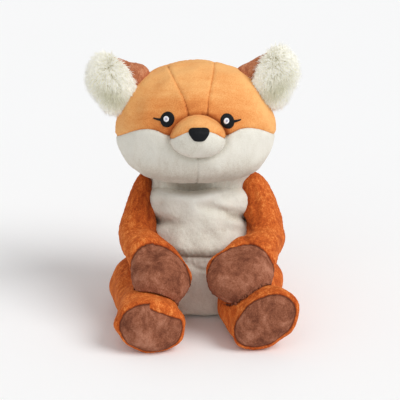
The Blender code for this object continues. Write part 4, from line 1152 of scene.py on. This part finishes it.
EAR_WIDTH, FUR_WIDTH, FUR_THICKNESS, STRANDS, STRAND_WIDTH = 0.066, 0.048, 0.030, 12000, 0.00030
for side, (sign, *_) in EARS.items():
    back = ear_form(side, shifted(EAR_OVALS, BACK_ASIDE[side]), EAR_WIDTH, EAR_THICKNESS)
    skin = back.skin(spacing=0.0013)
    skin.push(nap(skin.points, 41 + sign, 0.0004, 0.00016))
    skin.points = in_place(skin.points)
    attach(add_skin(f"ear_{side}_back_cover", skin, EAR_BROWN, (f"ear_{side}_back",)), "head")
    front = ear_form(side, shifted(FUR_OVALS, FUR_ASIDE[side]), FUR_WIDTH, FUR_THICKNESS)
    pad = front.skin(spacing=0.0016)
    places, directions, lengths, paleness = grow_fur(side, pad, STRANDS, 51 + sign)
    points, triangles, shares, shades = strands(places, directions, lengths, STRAND_WIDTH, 61 + sign)
    pad.points, points = in_place(pad.points), in_place(points)
    fur_pad = add_skin(f"ear_{side}_fur_pad", pad, FUR, (f"ear_{side}_fur",))
    # The pad under the fur takes the colour of the fibres' roots, their painted shade.
    add_attributes(fur_pad, tip_share=np.zeros(len(pad.points)), strand_shade=np.full(len(pad.points), 0.5))
    hair = Skin(points, triangles)
    fur = add_skin(f"ear_{side}_fur", hair, FUR, (f"ear_{side}_fur",), thickness=0)
    # Paleness carries the painted shade of the hollow; shades vary at random from strand to strand.
    pale = np.repeat(paleness, STRAND_POINTS) + 0.10 - 0.62 * shades
    add_attributes(fur, tip_share=shares, strand_shade=pale)
    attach(fur_pad, "head")
    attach(fur, "head")

# %% [markdown]
# ## Legs
#
# A leg lies forward on the floor. It grows from thigh to foot, and the foot ends in an upright brown sole,
# turned a little about the leg's own length. The legs come before the arms, because a paw rests on them and
# is pressed flat where it does.
#
# The foot's ovals stand upright across the floor, and the skin is relaxed, so that the tight bend at the
# sole's rim doesn't fold over. The plain form of each leg is kept for the paws to rest on.

# %% The leg's form
SIDES = {"left": 1, "right": -1}
HIPS = {"left": np.array([0.062549, 0.0, 0.0315]), "right": np.array([-0.062527, 0.0, 0.0315])}
THIGH_WIDTH = 0.056
LEG_LENGTH = {"left": 0.146, "right": 0.151}
FOOT_WIDTH = {"left": 0.082, "right": 0.074}
FOOT_HEIGHT = {"left": 0.058, "right": 0.061}
KNEE_OUT = {"left": 0.002, "right": 0.012}
ANKLE_OUT = {"left": -0.0155, "right": 0.000}
FOOT_OUT = {"left": 0.0042, "right": -0.0095}
FOOT_ROLL = {"left": math.radians(40.0), "right": math.radians(7.0)}
# How far ahead, the shares of knee, ankle and foot in the way out, the foot's share of the size, the swell.
LEG_ROWS = ((-0.20, 0, 0, 0, 0, 0), (0.00, 0.00, 0.00, 0.00, 0.00, 0.97),
            (0.24, 1.00, 0.10, 0.00, 0.00, 1.00), (0.56, 0.00, 1.00, 0.00, 0.12, 0.97),
            (0.85, 0.00, 0.00, 1.00, 1.00, 1.00),
            (0.965, 0.00, 0.00, 1.00, 1.00, 0.86), (1, 0, 0, 1, 1, 0))
SOLE_SHARE, SOLE_DEPTH = {"left": 0.930, "right": 0.955}, 0.012
SOLE_RISE = {"left": 0.0028, "right": 0.0010}
SOLE_OUT = {"left": 0.0015, "right": -0.002}
SOLE_NOTCH = (-0.0545, 0.0556)
FOOT_ROUNDING = {"left": 12, "right": 6}
SOLE_GROOVE = {"left": 0.0013, "right": 0.0014}


def leg_form(side):
    """From the hip to the foot, whose middle is as high as its turned oval needs to stand on the floor."""
    sign, roll = SIDES[side], FOOT_ROLL[side]
    half = FOOT_WIDTH[side] / 2, FOOT_HEIGHT[side] / 2
    foot_middle = math.hypot(half[0] * math.sin(roll), half[1] * math.cos(roll)) - FLOOR_CUT
    path, sizes = [], []
    for forward, knee, ankle, foot, blend, swell in LEG_ROWS:
        aside = knee * KNEE_OUT[side] + ankle * ANKLE_OUT[side] + foot * FOOT_OUT[side]
        place = (sign * aside, -forward * LEG_LENGTH[side], blend * (foot_middle - HIPS[side][2]))
        path.append(HIPS[side] + place)
        sizes.append([swell * mix(THIGH_WIDTH / 2, foot_half, blend) for foot_half in half])
    sections = spine_sections(path, sizes[1:-1], sign * roll)
    sections[-2:, [4, 7]] = 0.0  # no lean along y: the foot's ovals stand upright
    return Form(sections, path[0], path[-1]), path[-1]


def inside_sole(points, side, middle):
    """How far a point of the leg lies inside the sole's seam: an oval on the end, and only so far back.

    The nearer of the two limits counts: (a + b - hypot(a - b, 5 mm)) / 2 is their minimum with a round
    corner. On the right foot the cover comes down over the sole's upper rim beyond the notch.
    """
    lean = -SIDES[side] * FOOT_ROLL[side]
    x = points[:, 0] - middle[0] - SIDES[side] * SOLE_OUT[side]
    z = points[:, 2] - middle[2] - SOLE_RISE[side]
    wide = (x * math.cos(lean) - z * math.sin(lean)) / (SOLE_SHARE[side] * FOOT_WIDTH[side] / 2)
    high = (x * math.sin(lean) + z * math.cos(lean)) / (SOLE_SHARE[side] * FOOT_HEIGHT[side] / 2)
    oval = (1 - np.hypot(wide, high)) * SOLE_SHARE[side] * FOOT_HEIGHT[side] / 2
    if side == "right":
        past = np.clip((points[:, 0] - SOLE_NOTCH[0]) / 0.0025, 0, 1)
        oval = np.minimum(oval, SOLE_NOTCH[1] - 0.40 * (points[:, 0] - SOLE_NOTCH[0]) - points[:, 2]
                          + 0.03 * (1 - past))
    depth = middle[1] + SOLE_DEPTH - points[:, 1]
    return (oval + depth - np.hypot(oval - depth, 0.005)) / 2


# %% Legs
LEG_COVER_THICKNESS = 0.0012
leg_skins = {}
for side, sign in SIDES.items():
    form, sole_middle = leg_form(side)
    leg_skins[side] = form.skin(spacing=0.0018)
    skin = form.skin(spacing=0.0010)
    skin.relax(FOOT_ROUNDING[side])
    skin.marks = {"sole": inside_sole(skin.points, side, sole_middle)}
    skin.push(nap(skin.points, 71 + sign, 0.0006, 0.00014))
    sew(skin, skin.marks["sole"], depth=SOLE_GROOVE[side], width=0.0030, puckers=0.00020)
    skin.relax(4)
    skin.points[:, 2] = np.maximum(skin.points[:, 2], 0.0)
    sole_part, cover_part = skin.split("sole")
    cover = add_skin(f"leg_{side}_fabric", cover_part, BODY_ORANGE,
                     (f"leg_{side}_cover", f"leg_{side}_stuffing"), LEG_COVER_THICKNESS)
    sole = add_skin(f"leg_{side}_sole_fabric", sole_part, BROWN, (f"leg_{side}_sole",),
                    LEG_COVER_THICKNESS)
    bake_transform(cover)
    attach(sole, f"leg_{side}")

# %% [markdown]
# ## Arms
#
# An arm comes down and forward from the shoulder, bends in at the elbow and ends in a broad paw, whose
# brown pad looks forward and a little up. The pad's seam is an oval in a plane that is tilted back with it.
# Each shoulder is lifted towards the chin, as it is pushed up in the photograph, and the left paw is set a
# little higher. Where a paw rests on a leg, its skin is moved out of the leg.

# %% The arm's form
SHOULDERS = {"left": np.array([0.066010, 0.0, 0.1296]), "right": np.array([-0.066158, 0.0, 0.1296])}
PAW_IN, ARM_FORWARD, ARM_DROP = 0.045, 0.106, 0.090
ELBOW_OUT = {"left": 0.0075, "right": 0.0030}
SLEEVE_WIDTH, PAW_THICKNESS = 0.044, 0.042
PAW_WIDTH = {"left": 0.073, "right": 0.063}
ARM_SWELL = {"left": (0.76, 1.00, 0.93, 1.00, 0.86), "right": (0.54, 1.00, 0.93, 1.00, 0.86)}
# The shares of the way out, in, ahead and down, and the paw's share of the size.
ARM_ROWS = ((-0.40, 0.00, -0.10, -0.16, 0.00), (0.00, 0.00, 0.00, 0.00, 0.00),
            (1.00, 0.00, 0.30, 0.43, 0.00), (0.80, 0.22, 0.62, 0.48, 0.35),
            (0.30, 0.50, 0.89, 0.64, 1.00), (0.10, 0.80, 0.99, 0.86, 0.95), (0.00, 1.00, 1.00, 0.97, 0.00))
SHOULDER_RISE = {"left": (-0.0070, 0.0015, 0.0085), "right": (0.0010, 0, 0.0090)}
# How much painted shadow the head casts on each arm's top.
HEAD_SHADOW = {"left": 0.0, "right": 0.35}
INNER_SHADE = {"left": 0.42, "right": 0.60}
# Each fold: its path as x and z, its depth and width, whether it is a pocket, and how much painted shade it
# has.
ARM_FOLDS = {
    "right": ((((0.0640, 0.1420), (0.0660, 0.1290), (0.0700, 0.1150), (0.0680, 0.1020)),
               0.0014, 0.0036, False, 0.30),
              (((0.0530, 0.1330), (0.0570, 0.1200), (0.0560, 0.1080)), 0.0016, 0.0034, False, 0.35),
              (((0.0480, 0.0960), (0.0560, 0.0950), (0.0660, 0.0920), (0.0760, 0.0930)),
               0.0018, 0.0038, True, 0.45)),
    "left": ((((0.0560, 0.1480), (0.0620, 0.1330), (0.0640, 0.1180), (0.0600, 0.1060)),
              0.0014, 0.0036, False, 0.30),
             (((0.0500, 0.1040), (0.0580, 0.1010), (0.0680, 0.0980), (0.0780, 0.1000)),
              0.0018, 0.0038, True, 0.45)),
}
PAW_SHIFT = {"left": (-0.0030, 0.001, 0.0050), "right": (0.0, 0, 0.0)}
PAD_PLACE = (0.30, 0.53, 0.90, 0.68)
PAD_LENGTH = 0.076
PAD_LEAN = math.radians(33.0)
PAD_TILT = math.radians(20.0)


def arm_place(row, side):
    """The place that a row's shares give, from the shoulder."""
    outward, inward, forward, down = row[:4]
    aside = SIDES[side] * (outward * ELBOW_OUT[side] - inward * PAW_IN)
    return SHOULDERS[side] + (aside, -forward * ARM_FORWARD, -down * ARM_DROP)


def arm_form(side):
    """Ovals from the shoulder over the elbow to the paw."""
    path = [arm_place(row, side) for row in ARM_ROWS]
    sizes = [[swell * mix(SLEEVE_WIDTH, size, row[4]) / 2 for size in (PAW_WIDTH[side], PAW_THICKNESS)]
             for row, swell in zip(ARM_ROWS[1:-1], ARM_SWELL[side])]
    return Form(spine_sections(path, sizes), path[0], path[-1])


def inside_pad(points, side):
    """How far a point of the arm lies inside the pad's seam: an oval in the tilted plane, in front of it."""
    offset = points - arm_place(PAD_PLACE, side)
    ahead = offset[:, 1] * math.cos(PAD_TILT) - offset[:, 2] * math.sin(PAD_TILT)
    high = offset[:, 1] * math.sin(PAD_TILT) + offset[:, 2] * math.cos(PAD_TILT)
    lean = SIDES[side] * PAD_LEAN
    across = offset[:, 0] * math.cos(lean) - high * math.sin(lean)
    upward = offset[:, 0] * math.sin(lean) + high * math.cos(lean)
    half = PAW_WIDTH[side] / 2
    oval = (1 - np.hypot(across / half, upward / (PAD_LENGTH / 2))) * half
    return np.minimum(oval, -ahead)


# %% Arms
for side, sign in SIDES.items():
    skin = arm_form(side).skin(spacing=0.0011)
    skin.marks = {"pad": inside_pad(skin.points, side)}
    top = SHOULDERS[side] + (-sign * 0.008, 0, 0.018)
    shrug = bell(np.linalg.norm(skin.points - top, axis=1), 0.030)
    lift = eased(ramp(skin.points[:, 2], 0.088, 0.043))
    skin.points += shrug[:, None] * SHOULDER_RISE[side] + lift[:, None] * PAW_SHIFT[side]
    # Painted shade on the arm's inner side, and on the right arm's top a painted shadow of the head.
    inward = np.clip(-sign * skin.normals()[:, 0], 0, 1) * ramp(skin.points[:, 2], 0.075, 0.095)
    in_head_shadow = ramp(skin.points[:, 2], 0.115, 0.140)
    skin.darken(INNER_SHADE[side] * inward + HEAD_SHADOW[side] * in_head_shadow)
    skin.push(nap(skin.points, 81 + sign, 0.0006, 0.00014))
    sew(skin, skin.marks["pad"], depth=0.0014, width=0.0024, puckers=0.00020)
    skin.push(sum(fold(skin, [(sign * x, z) for x, z in path], *shape) for path, *shape in ARM_FOLDS[side]))
    skin.points = keep_clear(skin.points, leg_skins[side], 0.0012)
    pad_part, sleeve_part = skin.split("pad")
    sleeve = add_skin(f"arm_{side}_fabric", sleeve_part, BODY_ORANGE,
                      (f"arm_{side}_sleeve", f"arm_{side}_stuffing"))
    pad = add_skin(f"arm_{side}_pad_fabric", pad_part, BROWN, (f"arm_{side}_paw_pad",))
    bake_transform(sleeve)
    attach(pad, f"arm_{side}")

# %% [markdown]
# ## Tail
#
# The tail lies on the floor behind the seat, curls to the fox's left and ends in a cream tip.

# %% Tail
TAIL_ROOT = np.array([0.0, 0.068784, 0.024])
TAIL_LENGTH, TAIL_CURL, TAIL_WIDTH, TIP_SHARE = 0.108, 0.055, 0.048, 0.68
TAIL_ROWS = ((-0.16, 0.00, 0.00), (0.00, 0.00, 0.60), (0.40, 0.14, 0.94), (0.74, 0.55, 0.96),
             (0.94, 0.88, 0.56), (1.00, 1.00, 0.00))
rest = TAIL_WIDTH / 2 - FLOOR_CUT - TAIL_ROOT[2]
tail_path = [TAIL_ROOT + (aside * TAIL_CURL, back * TAIL_LENGTH, rest * min(back, swell))
             for back, aside, swell in TAIL_ROWS]
tail_sizes = [(swell * TAIL_WIDTH / 2,) * 2 for _, _, swell in TAIL_ROWS[1:-1]]
tail_skin = Form(spine_sections(tail_path, tail_sizes), tail_path[0], tail_path[-1]).skin(0.0013)
tail_skin.marks = {"tip": tail_skin.points[:, 1] - TAIL_ROOT[1] - TIP_SHARE * TAIL_LENGTH}
tail_skin.push(nap(tail_skin.points, 91, 0.0009, 0.00014))
sew(tail_skin, tail_skin.marks["tip"])
tail_skin.points[:, 2] = np.maximum(tail_skin.points[:, 2], 0.0)
tip_part, root_part = tail_skin.split("tip")
tail_cover = add_skin("tail_fabric", root_part, BODY_ORANGE, ("tail_cover", "tail_stuffing"))
tail_tip = add_skin("tail_tip_fabric", tip_part, CREAM, ("tail_tip",))
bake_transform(tail_cover)
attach(tail_tip, "tail")
